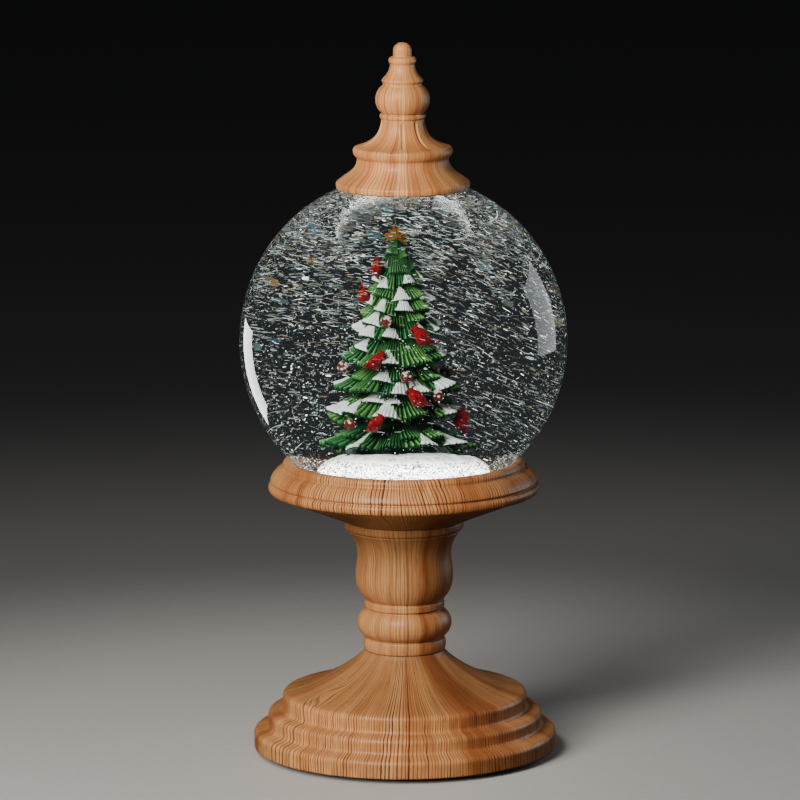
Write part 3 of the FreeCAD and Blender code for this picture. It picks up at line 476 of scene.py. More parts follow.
def base_outline():
    s = Section(57.6, 2.0).line((59.5, 2.0)).arc((60.15, 2.25), (60.35, 2.9), 5)
    s.line((60.35, 6.9)).arc((59.9, 8.75), (58.5, 9.6), 8).line((56.2, 10.35))
    s.arc((55.1, 10.95), (54.7, 12.1), 6).line((54.7, 14.4)).arc((54.25, 16.1), (52.9, 16.95), 8)
    s.line((50.6, 17.45)).arc((49.25, 17.9), (48.8, 19.2), 6)
    s.line((48.8, 22.3)).arc((48.35, 23.8), (47.1, 24.7), 8)
    s.curve((44.0, 25.55), (40.0, 26.65), (35.6, 28.35), (31.0, 30.45), (26.0, 33.2), (20.8, 36.7),
            (17.4, 39.6), (16.0, 41.4))
    s.line((3.6, 41.4), (3.6, 38.4), (13.0, 38.4))
    return s.curve((17.4, 35.3), (23.8, 30.4), (32.5, 25.6), (43.5, 22.6), (46.2, 20.4)).line(
        (46.2, 15.6), (52.0, 14.4), (52.0, 9.0), (57.6, 7.6)).points


def column_outline():
    s = Section(3.6, 41.4).line((15.4, 41.4)).arc((15.95, 41.65), (16.3, 42.4), 5)
    s.arc((16.5, 44.0), (16.3, 45.6), 6)
    s.arc((16.0, 46.3), (15.4, 46.55), 5).arc((15.15, 46.8), (15.5, 47.0), 4)
    s.arc((18.8, 52.3), (15.5, 57.9), 26).arc((15.1, 58.3), (15.35, 58.65), 4)
    s.arc((15.8, 58.9), (15.95, 59.5), 4).line((15.95, 60.8)).arc((15.8, 61.4), (15.3, 61.65), 4)
    s.arc((15.1, 61.85), (15.35, 62.1), 4)
    s.curve((16.3, 62.9), (17.5, 64.5), (18.5, 66.4), (19.25, 68.9), (19.5, 71.75), (19.35, 74.6),
            (19.0, 77.4), (18.78, 79.9), (18.9, 82.3), (19.5, 84.9), (20.6, 87.2), (22.0, 89.3), (22.6, 89.9))
    s.arc((22.55, 90.35), (22.95, 90.6), 4).arc((23.6, 91.2), (23.8, 92.1), 5).line((23.7, 93.2))
    s.arc((23.55, 93.8), (23.1, 94.0), 4)
    return s.line((15.3, 94.0), (15.3, 84.0), (11.5, 80.0), (11.5, 46.0), (3.6, 46.0)).points


def tray_outline():
    s = Section(15.0, 94.0).line((23.4, 94.0), (24.2, 94.35))
    s.curve((33.0, 98.0), (42.0, 101.6), (50.2, 105.1)).arc((50.9, 105.5), (51.6, 105.5), 4)
    s.arc((53.2, 105.9), (53.9, 107.3), 8).arc((53.75, 108.6), (52.9, 109.4), 6)
    s.arc((52.55, 109.7), (52.85, 110.0), 4).arc((53.15, 110.5), (53.0, 111.1), 4)
    s.curve((52.4, 112.3), (51.55, 113.4), (50.6, 114.3), (49.6, 115.0), (48.6, 115.4))
    s.arc((48.15, 115.7), (48.1, 116.2), 4).arc((47.85, 117.7), (46.3, 118.65), 8).line((45.2, 118.75))
    s.points += ellipse_points(0.15, 118.7, 115.8, 6)
    return s.line((41.7, 114.6), (46.0, 112.6), (46.0, 106.6), (24.0, 97.0), (13.3, 97.0), (13.3, 88.0),
                  (4.0, 88.0), (4.0, 86.0), (15.0, 86.0)).points


def cap_outline():
    s = Section(25.0, 227.04).arc((26.1, 227.4), (26.45, 228.5), 7).arc((26.35, 229.6), (25.5, 230.35), 6)
    s.curve((23.8, 231.7), (21.6, 233.2), (19.7, 234.9), (18.6, 236.6), (18.15, 238.2), (18.15, 239.1))
    s.arc((18.3, 239.5), (18.6, 239.8), 3).arc((19.5, 241.0), (19.7, 242.3), 7)
    s.arc((19.3, 243.3), (18.2, 243.8), 6)
    s.curve((15.4, 244.8), (13.2, 245.9), (11.5, 247.2), (10.2, 248.8), (9.3, 250.6), (8.7, 252.6),
            (8.4, 254.8))
    s.line((2.05, 254.8), (2.05, 243.0), (0, 243.0), (0, 240.0), (15.0, 238.0))
    s.curve((16.4, 234.6), (19.0, 231.2)).line((19.0, 229.4))
    s.points += ellipse_points(0.15, 229.3, 227.05, 6)[1:-1]
    return s.points


FLUTES = 10
FLUTE_HALF = 0.85
FLUTE_DEPTH = 0.55


def fluted(r, z, angle):
    """Ten narrow round grooves down the cap's neck, fading out over the shoulder."""
    if r < 3.0 or not 243.7 < z < 254.4:
        return r, z
    pitch = 2 * math.pi / FLUTES
    off = abs((angle + pitch / 2) % pitch - pitch / 2) * r
    if off > 2 * FLUTE_HALF:
        return r, z
    cut = math.cos(min(1.0, off / FLUTE_HALF) * math.pi / 2) ** 1.3
    lip = 0.10 * math.exp(-((off / FLUTE_HALF - 1.15) / 0.3) ** 2)
    fade = min(1.0, (254.4 - z) / 1.2) * min(1.0, max(0.0, (17.2 - r) / 3.0))
    return r - (FLUTE_DEPTH * cut - lip) * fade, z - 0.35 * cut * fade * (1.0 if r > 11 else 0.0)


def spire_outline():
    s = Section(2.05, 254.8).line((8.3, 254.8)).arc((8.85, 255.1), (9.0, 255.8), 5)
    s.arc((8.85, 256.5), (8.35, 256.75), 5)
    s.arc((8.15, 256.9), (8.4, 257.15), 3)
    s.arc((10.75, 262.4), (8.2, 267.75), 20).arc((7.75, 268.1), (7.75, 268.6), 4)
    s.arc((7.75, 269.1), (8.0, 269.3), 3)
    s.arc((8.2, 269.9), (7.85, 270.6), 5).curve((6.7, 271.8), (5.7, 273.3), (5.1, 274.9), (4.85, 276.1))
    s.arc((4.95, 276.5), (5.2, 276.8), 3).arc((5.45, 277.8), (5.15, 278.7), 7)
    s.arc((4.9, 279.05), (4.3, 279.15), 4)
    s.arc((3.75, 279.3), (3.65, 279.9), 4).line((3.66, 281.4))
    s.arc((2.6, 284.0), (0.0, 284.9), 12)
    return s.line((0, 264.0), (2.05, 264.0)).points


def build_woodwork():
    # The height shares passed last are painted shade: they darken the base's flare, the column's top under
    # the tray and the tray's underside.
    base = wood("wood_base", 300, 18.0, calm=0.40, knot=(-34.5, -17.5, 28.6), band=0.70, drift=1.9,
                height_shade=(23.0, 27.0, 0.95, 0.70))
    column = wood("wood_column", 88, 68.0, drift=1.2, lean=120.0, dark_share=0.50,
                  height_shade=(50.0, 86.0, 0.86, 0.62))
    tray = wood("wood_tray", 265, 108.0, lean=900.0, drift=3.0, dark_share=1.2,
                height_shade=(101.0, 104.0, 0.62, 0.92))
    # pale on the cap and spire is painted light, lifting their tone as if lit from above.
    cap = wood("wood_cap", 96, 238.0, drift=2.2, lean=200.0, dark_share=0.5, pale=1.16)
    spire = wood("wood_spire", 48, 270.0, drift=1.5, lean=100.0, dark_share=0.55, pale=1.14)
    return [
        settle(lathe("turned_base", base_outline(), base), "wood_finish", "base_shell"),
        settle(lathe("turned_column", column_outline(), column), "wood_finish", "pedestal_column"),
        settle(lathe("turned_tray", tray_outline(), tray), "wood_finish", "globe_tray"),
        settle(lathe("fluted_cap", cap_outline(), cap, 400, fluted), "wood_finish", "finial_cap"),
        settle(lathe("turned_spire", spire_outline(), spire), "wood_finish", "finial_spire"),
    ]


# ---- globe, liquid, snow ----


def build_globe():
    glass = Section(0, GLOBE_Z + GLOBE_RZ)
    glass.points += ellipse_points(0.0, GLOBE_Z + GLOBE_RZ, 113.06, 150)[1:]
    glass.line((38.0, 106.8), (35.5, 106.8))
    glass.points += ellipse_points(-GLASS_WALL, 114.06, GLOBE_Z + GLOBE_RZ - GLASS_WALL, 150)
    stuff = see_through("clear_glass", 1.5, (0.985, 0.995, 0.99))
    globe = lathe("blown_globe", glass.points, stuff, 256, sharp_deg=60)
    settle(globe, "globe_glass", "glass_globe")
    lap = 0.12
    fill = Section(0, 109.6).line((35.5 + lap, 109.6))
    fill.points += ellipse_points(lap - GLASS_WALL, 114.2, GLOBE_Z + GLOBE_RZ - GLASS_WALL + lap, 150)
    stuff = see_through("clear_water", 1.333, (0.99, 1.0, 0.995))
    liquid = lathe("clear_liquid", fill.points, stuff, 256, sharp_deg=60)
    settle(liquid, "liquid", "water_fill")
    return globe


def lumpy(amount, size):
    def shape(r, z, angle):
        if r < 0.01:
            return r, z
        spot = Vector((r * math.sin(angle), -r * math.cos(angle), z)) / size
        lump = noise.fractal(spot, 0.8, 2.0, 3)
        edge = min(1.0, max(0.0, (z - HEAP_FOOT) / 2.0))
        return r + amount * lump * edge * 0.7, z + amount * lump * edge
    return shape


def build_snow_bed():
    disc = Section(0, 118.0).line((25.4, 118.0)).arc((26.3, 118.4), (26.6, 119.4), 6)
    disc.line((26.6, HEAP_FOOT), (0, HEAP_FOOT))
    stuff = glowing_snow("milky_resin", 117.0, 126.0, 11.0, 11.0, 130.0)
    settle(lathe("light_disc", disc.points, stuff), "milky_plastic", "snow_platform")
    heap = Section(0, HEAP_FOOT).line((25.8, HEAP_FOOT))
    heap.curve((25.6, 126.2), (24.7, 128.0), (23.1, 129.6), (20.8, 130.9), (17.5, 131.6), (12.0, 131.9),
               (6.0, 132.0), (0.0, 132.0), steps=5)
    stuff = glowing_snow("snow_resin_glow", 124.4, 130.2, 11.0, 0.9, 126.8)
    settle(lathe("snow_heap", heap.points, stuff, 160, lumpy(0.55, 7.0)), "snow_resin", "snow_mound")


# ---- tree ----

# Each tier: height of the tips, reach, number of boughs, rise from tip to trunk
TIERS = [
    (134.8, 23.4, 11, 10.5),
    (145.0, 20.6, 10, 11.0),
    (153.0, 18.8, 10, 11.0),
    (161.4, 16.4, 9, 11.0),
    (170.4, 13.8, 8, 11.0),
    (178.2, 11.2, 8, 10.5),
    (185.2, 7.8, 6, 10.8),
    (190.6, 4.6, 5, 7.2),
]
RIDGES = 10
ACROSS = 4 * RIDGES
ALONG = 12


def bough(rng, turn, reach, tip_z, rise, half_width, snowy, tone):
    """One fan of carved needles as top and underside grids. Returns points, faces and paint."""
    root = 0.10 * reach
    out, side = Vector((math.sin(turn), -math.cos(turn), 0)), Vector((math.cos(turn), math.sin(turn), 0))
    lean = rng.uniform(-0.16, 0.16)
    phase = rng.uniform(0, 1)
    bite, offset, spread_at_tip = rng.uniform(0.40, 0.62), rng.uniform(-0.4, 0.4), rng.uniform(0.45, 0.75)
    rows = {True: [], False: []}
    points, paint, faces = [], [], []
    for top in (True, False):
        for i in range(ALONG + 1):
            u = i / ALONG
            row = []
            for j in range(ACROSS + 1):
                v = 2 * j / ACROSS - 1
                width = half_width * (0.22 + 0.78 * u ** 0.9)
                ridge = 0.5 + 0.5 * math.cos(2 * math.pi * (v * RIDGES / 2 + phase))
                spread = root + (reach - root) * u
                spread -= 0.30 * reach * v * v * u * u
                spread += 0.05 * reach * (ridge - 0.5) * u ** 5
                z = tip_z + rise * (1 - u) ** 1.3 - 0.34 * width * v * v * (0.4 + 0.6 * u)
                z += lean * width * v
                snow = 0.0
                if snowy:
                    opened = max(0.0, (u - bite) / (1 - bite))
                    wedge = 1.08 * opened ** 0.75 * spread_at_tip - abs(v - offset) if opened else -1.0
                    snow = min(1.0, max(0.0, wedge / 0.12 + 0.5))
                lift = (0.16 + 0.07 * half_width) * (ridge - 0.5) * (0.3 + 0.7 * u) * (1 - 0.6 * snow)
                z += lift + 0.40 * snow
                if not top:
                    z -= 0.4 + (0.26 * half_width + 1.1) * (1 - 0.65 * u) * (1 - v * v)
                spot = out * spread + side * (v * width)
                row.append(len(points))
                points.append((TREE_X + spot.x, spot.y, z))
                # The green channel is painted light: lightest on ridge tops as a painted highlight, darker
                # towards the trunk as painted shade, and nil on the underside, which takes the shaded green.
                shade = ridge ** 1.7 * (0.20 + 0.80 * u) if top else 0.0
                paint.append((snow if top else 0.0, shade, tone))
            rows[top].append(row)
    for top in (True, False):
        grid = rows[top]
        for i in range(ALONG):
            for j in range(ACROSS):
                quad = (grid[i][j], grid[i][j + 1], grid[i + 1][j + 1], grid[i + 1][j])
                faces.append(quad if top else quad[::-1])
    a, b = rows[True], rows[False]
    rim = [(0, j) for j in range(ACROSS + 1)] + [(i, ACROSS) for i in range(1, ALONG + 1)]
    rim += [(ALONG, j) for j in range(ACROSS - 1, -1, -1)] + [(i, 0) for i in range(ALONG - 1, 0, -1)]
    for (i, j), (k, m) in zip(rim, rim[1:] + rim[:1]):
        faces.append((a[k][m], a[i][j], b[i][j], b[k][m]))
    return points, faces, paint


def tree_core(points, faces, paint):
    """The mass of inner needles round the trunk, in the shaded green as painted shade between the tiers, and
    the peg into the snow.
    """
    stations = [(129.0, 3.0), (131.4, 3.0), (131.5, 12.0), (140.0, 11.0), (150.0, 9.5), (160.0, 7.8),
                (170.0, 6.2), (180.0, 4.4), (190.0, 2.4), (195.6, 0.9), (196.4, 0.0)]
    segments = 40
    start = len(points)
    for z, r in stations:
        for i in range(segments):
            a = 2 * math.pi * i / segments
            wave = 1 + 0.10 * math.cos(5 * a + z) + 0.06 * math.cos(11 * a - z)
            points.append((TREE_X + r * wave * math.sin(a), -r * wave * math.cos(a), z))
            # Low green channel: the core takes the shaded green, painted shade in the gaps between the tiers.
            paint.append((0.0, 0.16 + 0.1 * math.cos(11 * a), 0.2))
    faces += band_faces(start, len(stations), segments)
    faces.append(tuple(start + i for i in range(segments))[::-1])


# Each layer of a tier: share of its boughs, reach, height over the tips, share of the rise, share with snow
LAYERS = [(1.0, 1.0, 0.0, 1.0, 0.70), (0.9, 0.78, 3.4, 0.8, 0.18)]


def build_tree():
    rng = random.Random(11)
    points, faces, paint = [], [], []
    tree_core(points, faces, paint)
    for level, (tip_z, reach, count, rise) in enumerate(TIERS):
        for share, shorter, higher, flatter, snow_share in LAYERS:
            number = round(count * share)
            offset = rng.uniform(0, 2 * math.pi)
            for i in range(number):
                turn = offset + 2 * math.pi * i / number + rng.uniform(-0.12, 0.12)
                own = reach * shorter * rng.uniform(0.92, 1.04)
                half = math.pi * 0.86 * own / number * rng.uniform(0.85, 1.25)
                tip = tip_z + higher + rng.uniform(-1.1, 1.1)
                snowy = rng.random() < snow_share * (0.5 if level == 0 else 1.0)
                more = bough(rng, turn, own, tip, rise * flatter, half, snowy, rng.random())
                base = len(points)
                points += more[0]
                faces += [tuple(base + k for k in face) for face in more[1]]
                paint += more[2]
    settle(mesh_piece("carved_tree", points, faces, painted_tree(), 70.0, paint), "tree_resin", "tree")


def star_shell(reach, valley, half_depth, turn, lean, centre):
    """A folded star: five arms with a ridge down each, on both sides."""
    rim = []
    for i in range(10):
        a = math.radians(90 + turn + 36 * i)
        r = reach if i % 2 == 0 else valley
        rim.append(lean @ Vector((r * math.cos(a), 0, r * math.sin(a))))
    peaks = [lean @ Vector((0, side * half_depth, 0)) for side in (-1, 1)]
    faces = []
    for i in range(10):
        j = (i + 1) % 10
        faces += [(i, j, 10), (j, i, 11)]
    return [tuple(centre + p) for p in rim + peaks], faces


def build_star():
    """Two folded stars, one turned between the other's arms, on a short stem."""
    lean = Matrix.Rotation(math.radians(-10), 3, "Y") @ Matrix.Rotation(math.radians(8), 3, "X")
    centre = Vector((TREE_X, 0, 199.3))
    points, faces = star_shell(4.9, 2.3, 1.7, 0, lean, centre)
    more, sides = star_shell(4.1, 2.2, 2.0, 36, lean, centre)
    faces += [tuple(k + len(points) for k in face) for face in sides]
    gold = gold_paint()
    star = mesh_piece("folded_star", points + more, faces, gold, 5.0)
    edge = star.modifiers.new("soft_edges", "BEVEL")
    edge.width, edge.segments, edge.limit_method = 0.12 * MM, 2, "ANGLE"
    settle(star, "star_gold", "tree_star")
    stem = [tuple(round_tree(2 * math.pi * i / 16, 0.7, z)) for z in (196.2, 198.9) for i in range(16)]
    sides = band_faces(0, 2, 16)
    caps = [tuple(range(16))[::-1], tuple(range(16, 32))]
    settle(mesh_piece("star_stem", stem, sides + caps, gold), "star_gold")


# ---- birds and cones ----

# Stations from tail to beak: place along the body, height, half width, half height
BIRD_BODY = [
    (-4.9, -1.3, 0.50, 0.10), (-3.9, -1.0, 0.66, 0.20), (-3.0, -0.6, 0.85, 0.50), (-2.1, -0.3, 1.65, 1.35),
    (-1.2, 0.0, 2.35, 2.10), (-0.2, 0.15, 2.70, 2.55), (0.8, 0.35, 2.60, 2.60), (1.6, 0.9, 2.20, 2.25),
    (2.2, 1.5, 1.85, 1.85), (2.8, 1.95, 1.60, 1.60), (3.3, 2.05, 1.20, 1.20), (3.7, 2.0, 0.66, 0.66),
    (4.1, 1.9, 0.34, 0.30), (4.45, 1.8, 0.06, 0.06),
]
WING = [(-3.6, -0.9, 0.10, 0.22), (-2.5, -0.5, 0.40, 0.75), (-1.0, -0.1, 0.65, 1.35),
        (0.3, 0.3, 0.70, 1.50), (1.3, 0.7, 0.45, 1.00), (1.9, 0.9, 0.10, 0.30)]
CREST = [(2.7, 2.9, 0.60, 0.50), (2.1, 3.6, 0.50, 0.42), (1.5, 4.3, 0.25, 0.25), (1.1, 4.8, 0.03, 0.03)]
RED, DARK_RED = (0.36, 0.008, 0.012), (0.10, 0.003, 0.006)
MASK, BEAK = (0.02, 0.012, 0.012), (0.26, 0.060, 0.015)


def tube(stations, points, faces, segments=16, shift=0.0):
    """Rings across X through the stations, with closed ends."""
    start = len(points)
    for x, z, wide, high in stations:
        for i in range(segments):
            a = 2 * math.pi * i / segments
            points.append((x, shift + wide * math.cos(a), z + high * math.sin(a)))
    faces += band_faces(start, len(stations), segments)
    last = start + (len(stations) - 1) * segments
    faces.append(tuple(start + i for i in range(segments))[::-1])
    faces.append(tuple(last + i for i in range(segments)))


def bird_paint(x, y, z):
    if x > 3.85:
        return BEAK
    if x > 3.15 and z < 2.3:
        return MASK
    wing = abs(y) > 1.6 and x < 1.4 and z < 1.2
    ruffle = 0.5 + 0.5 * noise.noise(Vector((x, y, z)) * 1.7)
    mix = min(1.0, (0.55 if wing or x < -2.2 else 0.12) + 0.35 * ruffle)
    return tuple(a + (b - a) * mix for a, b in zip(RED, DARK_RED))


def bird_master():
    """One bird, beak towards +X, its parts melted together as a cast figure. Returns mesh data."""
    points, faces = [], []
    tube(BIRD_BODY, points, faces)
    tube(CREST, points, faces, 12)
    for side in (-1, 1):
        tube(WING, points, faces, 12, side * 2.15)
    made = mesh_piece("bird_master", points, faces, bpy.data.materials.new("none"))
    melt = made.modifiers.new("melt", "REMESH")
    melt.mode, melt.voxel_size = "VOXEL", 0.17 * MM
    soft = made.modifiers.new("soft", "SMOOTH")
    soft.factor, soft.iterations = 0.6, 3
    seen = made.evaluated_get(bpy.context.evaluated_depsgraph_get()).to_mesh()
    spots = [tuple(c / MM for c in v.co) for v in seen.vertices]
    rough = []
    for x, y, z in spots:
        push = 0.14 * noise.fractal(Vector((x, y, z)) * 2.2, 0.7, 2.0, 3)
        size = max(1.0, math.sqrt(y * y + z * z))
        rough.append((x, y * (1 + push / size), z * (1 + push / size)))
    result = rough, [tuple(p.vertices) for p in seen.polygons], [bird_paint(*p) for p in spots]
    bpy.data.objects.remove(made)
    return result


# Each bird: angle round the tree from the front towards +X, distance out, height, heading, lift of
# the beak, size
BIRDS = [
    (-46.0, 9.2, 190.2, -100.0, 58.0, 0.82),
    (-78.0, 10.4, 180.6, -60.0, 40.0, 0.78),
    (34.0, 14.2, 169.0, -75.0, 8.0, 1.08),
    (-26.0, 15.6, 161.4, 80.0, 8.0, 0.98),
    (20.0, 19.0, 149.8, -80.0, 8.0, 1.08),
    (-20.0, 21.4, 141.4, 85.0, 14.0, 0.98),
    (82.0, 19.4, 142.0, -35.0, 48.0, 0.92),
    (170.0, 15.0, 163.0, 90.0, 20.0, 0.98),
    (150.0, 19.5, 147.5, -90.0, 20.0, 0.98),
]


def build_birds():
    points, faces, paint = bird_master()
    stuff = painted_figure("bird_paint")
    for i, (turn, out, z, heading, lift, size) in enumerate(BIRDS):
        pose = Matrix.Translation(round_tree(math.radians(turn), out, z))
        pose = pose @ Matrix.Rotation(math.radians(heading - 90), 4, "Z")
        pose = pose @ Matrix.Rotation(math.radians(-lift), 4, "Y") @ Matrix.Scale(size, 4)
        moved = [tuple(pose @ Vector(p)) for p in points]
        bird = mesh_piece(f"red_bird_{i + 1}", moved, faces, stuff, 180.0, paint)
        settle(bird, "bird_resin", f"cardinal_{i + 1}")


# Each cone: angle round the tree, distance out, height
CONES = [(-14.0, 13.6, 174.6), (10.0, 17.0, 157.2), (-80.0, 16.4, 158.6), (46.0, 17.6, 150.6),
         (-46.0, 21.0, 141.6), (120.0, 16.5, 156.0)]
CONE_R = 1.62
SCALES = 46
GOLDEN_ANGLE = 2.39996
# Each ring of a scale, from its root to its lip: radius, height
SCALE_RINGS = [(0.62, -0.7), (0.66, -0.1), (0.50, 0.25), (0.14, 0.36)]


def build_cones():
    """Round pinecones: scales on a golden-angle spiral, each with a touch of snow at its lip."""
    points, faces, paint = [], [], []
    brown, pale = (0.15, 0.030, 0.020), (0.80, 0.70, 0.70)
    for turn, out, z in CONES:
        centre = round_tree(math.radians(turn), out, z)
        for i in range(SCALES):
            up = 1 - 2 * (i + 0.5) / SCALES
            spin, level = i * GOLDEN_ANGLE, math.sqrt(1 - up * up)
            normal = Vector((level * math.cos(spin), level * math.sin(spin), up))
            tilt = normal.to_track_quat("Z", "Y")
            start = len(points)
            snowy = noise.noise(centre + normal * 2.0) + 0.30 * up > 0.20
            for ring, (radius, height) in enumerate(SCALE_RINGS):
                for k in range(8):
                    b = 2 * math.pi * k / 8
                    local = Vector((radius * math.cos(b), radius * math.sin(b) * 0.8, height))
                    points.append(tuple(centre + normal * CONE_R + tilt @ local))
                    paint.append(pale if snowy and ring > 1 else brown)
            faces += band_faces(start, len(SCALE_RINGS), 8)
            faces.append(tuple(start + k for k in range(8))[::-1])
            faces.append(tuple(start + 24 + k for k in range(8)))
    settle(mesh_piece("snowed_cones", points, faces, painted_figure("cone_paint"), 60.0, paint),
           "pinecone_resin", "pinecones")


# ---- flakes ----

STREAKS = 3000
HIGH_STREAKS = 2300
DOTS = 1600
SETTLED = 6200
FOIL = 90
HAZE = 4000
VEIL = 5600
BLOTCHES = 240
WALL_GAP = 3.6


def flake(rng, spot, along, length, width, thick, points, faces):
    """A slim sliver of film: a long hexagon with two faces."""
    side = along.cross(Vector((rng.uniform(-1, 1), rng.uniform(-1, 1), rng.uniform(-1, 1)))).normalized()
    normal = along.cross(side).normalized()
    start = len(points)
    outline = [(-0.5, 0.0), (-0.3, 0.5), (0.3, 0.5), (0.5, 0.0), (0.3, -0.5), (-0.3, -0.5)]
    for level in (-0.5, 0.5):
        for x, y in outline:
            points.append(tuple(spot + along * (x * length) + side * (y * width) + normal * (level * thick)))
    faces.append(tuple(start + i for i in range(6))[::-1])
    faces.append(tuple(start + 6 + i for i in range(6)))
    for i in range(6):
        j = (i + 1) % 6
        faces.append((start + i, start + j, start + 6 + j, start + 6 + i))


def figure_radius(z):
    """How far the figure reaches from its trunk at the height z, with room to spare."""
    if z < 134.0:
        return 28.5
    return max(3.0, 25.0 - (z - 134.0) * 0.33) if z < 206.0 else 0.0


def flake_spot(rng, low, high):
    while True:
        reach = INNER_R - WALL_GAP
        p = Vector((rng.uniform(-1, 1), rng.uniform(-1, 1), rng.uniform(low, high))) * reach
        if p.length > reach:
            continue
        spot = Vector((p.x, p.y, GLOBE_Z + p.z * 1.01))
        if spot.z > 121.0 and math.hypot(spot.x - TREE_X, spot.y) > figure_radius(spot.z) + 1.0:
            return spot


def drift_direction(rng, spot):
    """Nearly level on the left and high up, falling to the right on the right side."""
    right = min(1.0, max(0.0, (spot.x + 8.0) / 34.0)) * min(1.0, max(0.0, (214.0 - spot.z) / 24.0))
    fall = -0.10 - 0.32 * right + rng.gauss(0, 0.13)
    depth = rng.gauss(0, 0.55) - 0.3 * spot.x / GLOBE_R
    return Vector((1.0, depth, fall)).normalized()


def crowding(spot):
    """How likely a streak is to be drawn again elsewhere: they gather in drifts, off the figure."""
    if spot.y < 5.0 and abs(spot.x - TREE_X) < figure_radius(spot.z) + 1.0:
        return 0.95
    drifts = noise.noise(Vector((spot.x, spot.y, spot.z * 1.6)) / 11.0)
    thin = 0.20 if spot.x > 12.0 and abs(spot.z - GLOBE_Z - 6.0) < 18.0 else 0.0
    return min(0.96, max(0.0, 0.45 + thin - 1.5 * drifts))


def haze_spot(rng):
    """Close under the glass, thickest towards the top."""
    while True:
        way = any_direction(rng)
        if way.y > -0.15 and rng.random() < 0.10 + 0.90 * max(0.0, way.z) ** 1.5:
            reach = INNER_R * rng.uniform(0.72, 0.95)
            return Vector((way.x * reach, way.y * reach, GLOBE_Z + way.z * reach))


def veil_spot(rng):
    """Along the wall's sides and back, so that the veil looks thickest at the globe's edge."""
    while True:
        way = any_direction(rng)
        if way.y > -0.45 and way.z > -0.86:
            reach = INNER_R * rng.uniform(0.91, 0.975)
            return Vector((way.x * reach, way.y * reach, GLOBE_Z + way.z * reach))


def any_direction(rng, spot=None):
    return Vector((rng.gauss(0, 1), rng.gauss(0, 1), rng.gauss(0, 1))).normalized()


def settled_spot(rng):
    """In the narrow space between the mound and the glass, or on the mound's rim."""
    z = GLOBE_Z - INNER_RZ * rng.uniform(0.63, 0.79)
    wall = math.sqrt(max(0.0, 1.0 - ((z - GLOBE_Z) / INNER_RZ) ** 2)) * INNER_R - 0.8
    turn = rng.uniform(0, 2 * math.pi)
    reach = wall - abs(rng.gauss(0, 2.2))
    return Vector((reach * math.sin(turn), -reach * math.cos(turn), z))


def back_spot(rng):
    """Among the haze, but only at the back and not low down."""
    spot = haze_spot(rng)
    while spot.y < 14.0 or spot.z < GLOBE_Z - 8.0:
        spot = haze_spot(rng)
    return spot


def scatter(rng, count, place, direction, lengths, widths, thick, points, faces):
    """Flakes of one kind, each at its own place, with its own direction, length and width."""
    for _ in range(count):
        spot = place(rng)
        along = direction(rng, spot)
        flake(rng, spot, along, rng.uniform(*lengths), rng.uniform(*widths), thick, points, faces)


def build_flakes():
    rng = random.Random(4)
    points, faces = [], []
    for count, low in ((STREAKS, -0.60), (HIGH_STREAKS, 0.25)):
        for _ in range(count):
            spot = flake_spot(rng, low, 1.0)
            while rng.random() < crowding(spot):
                spot = flake_spot(rng, low, 1.0)
            calm = spot.x < -4.0 and spot.z < GLOBE_Z - 4.0
            along, length = drift_direction(rng, spot), rng.uniform(0.8, 3.6)
            if calm and rng.random() < 0.7:
                along, length = any_direction(rng), rng.uniform(0.35, 0.8)
            wide = rng.uniform(0.07, 0.18) if length > 0.8 else rng.uniform(0.2, 0.36)
            flake(rng, spot, along, length, wide, 0.07, points, faces)
    for kind in (
        (DOTS, lambda rng: flake_spot(rng, -0.95, 0.20), any_direction, (0.35, 0.6), (0.28, 0.42), 0.12),
        (SETTLED, settled_spot, any_direction, (0.5, 1.2), (0.3, 0.6), 0.10),
        (HAZE, haze_spot, drift_direction, (0.5, 1.2), (0.16, 0.30), 0.06),
        (VEIL, veil_spot, any_direction, (0.25, 0.6), (0.12, 0.22), 0.06),
        (FOIL, lambda rng: flake_spot(rng, -0.2, 0.9), drift_direction, (1.0, 1.9), (0.5, 0.9), 0.10),
    ):
        scatter(rng, *kind, points, faces)
    settle(mesh_piece("drifting_flakes", points, faces, flake_material(), 10.0), "snow_resin")
    points, faces = [], []
    scatter(rng, BLOTCHES, back_spot, drift_direction, (2.0, 4.2), (1.0, 2.0), 0.06, points, faces)
    settle(mesh_piece("foil_leaves", points, faces, foil_material(), 10.0), "snow_resin")


# ---- finishes of the pieces that stay as they are in the frame ----


# Each finish: slot, name, colour, roughness, metallic, scale and depth of the texture, then contrast
# and clearness where they aren't the usual ones
FINISHES = [
    ("zinc_steel", "zinc_plated_steel", (0.62, 0.60, 0.56), 0.34, 1.0, 900.0, 0.02),
    ("black_plastic", "black_moulded", (0.025, 0.023, 0.022), 0.5, 0.0, 1500.0, 0.06, 0.25),
    ("underside_plastic", "underside_moulded", (0.055, 0.043, 0.034), 0.62, 0.0, 1300.0, 0.09, 0.2),
    ("white_plastic", "white_moulded", (0.80, 0.80, 0.77), 0.45, 0.0, 900.0, 0.04, 0.05),
    ("clear_rubber", "clear_rubber_pad", (0.70, 0.71, 0.70), 0.35, 0.0, 600.0, 0.05, 0.08, 0.5),
    ("circuit_board", "green_board", (0.02, 0.16, 0.05), 0.35, 0.0, 1200.0, 0.02, 0.3),
    ("lead_sleeve", "lead_sleeving", (0.03, 0.025, 0.025), 0.45, 0.0, 900.0, 0.04, 0.2),
    ("cell_jacket", "cell_wrap", (0.06, 0.08, 0.13), 0.28, 0.3, 300.0, 0.02, 0.3),
    ("magnet", "nickel_magnet", (0.72, 0.70, 0.66), 0.16, 1.0, 700.0, 0.01),
    ("led_lens", "lamp_lens", (0.95, 0.93, 0.86), 0.15, 0.0, 500.0, 0.01, 0.04, 0.6),
    ("clear_plastic", "clear_moulded", (0.86, 0.89, 0.90), 0.12, 0.0, 300.0, 0.01, 0.03, 0.9),
]


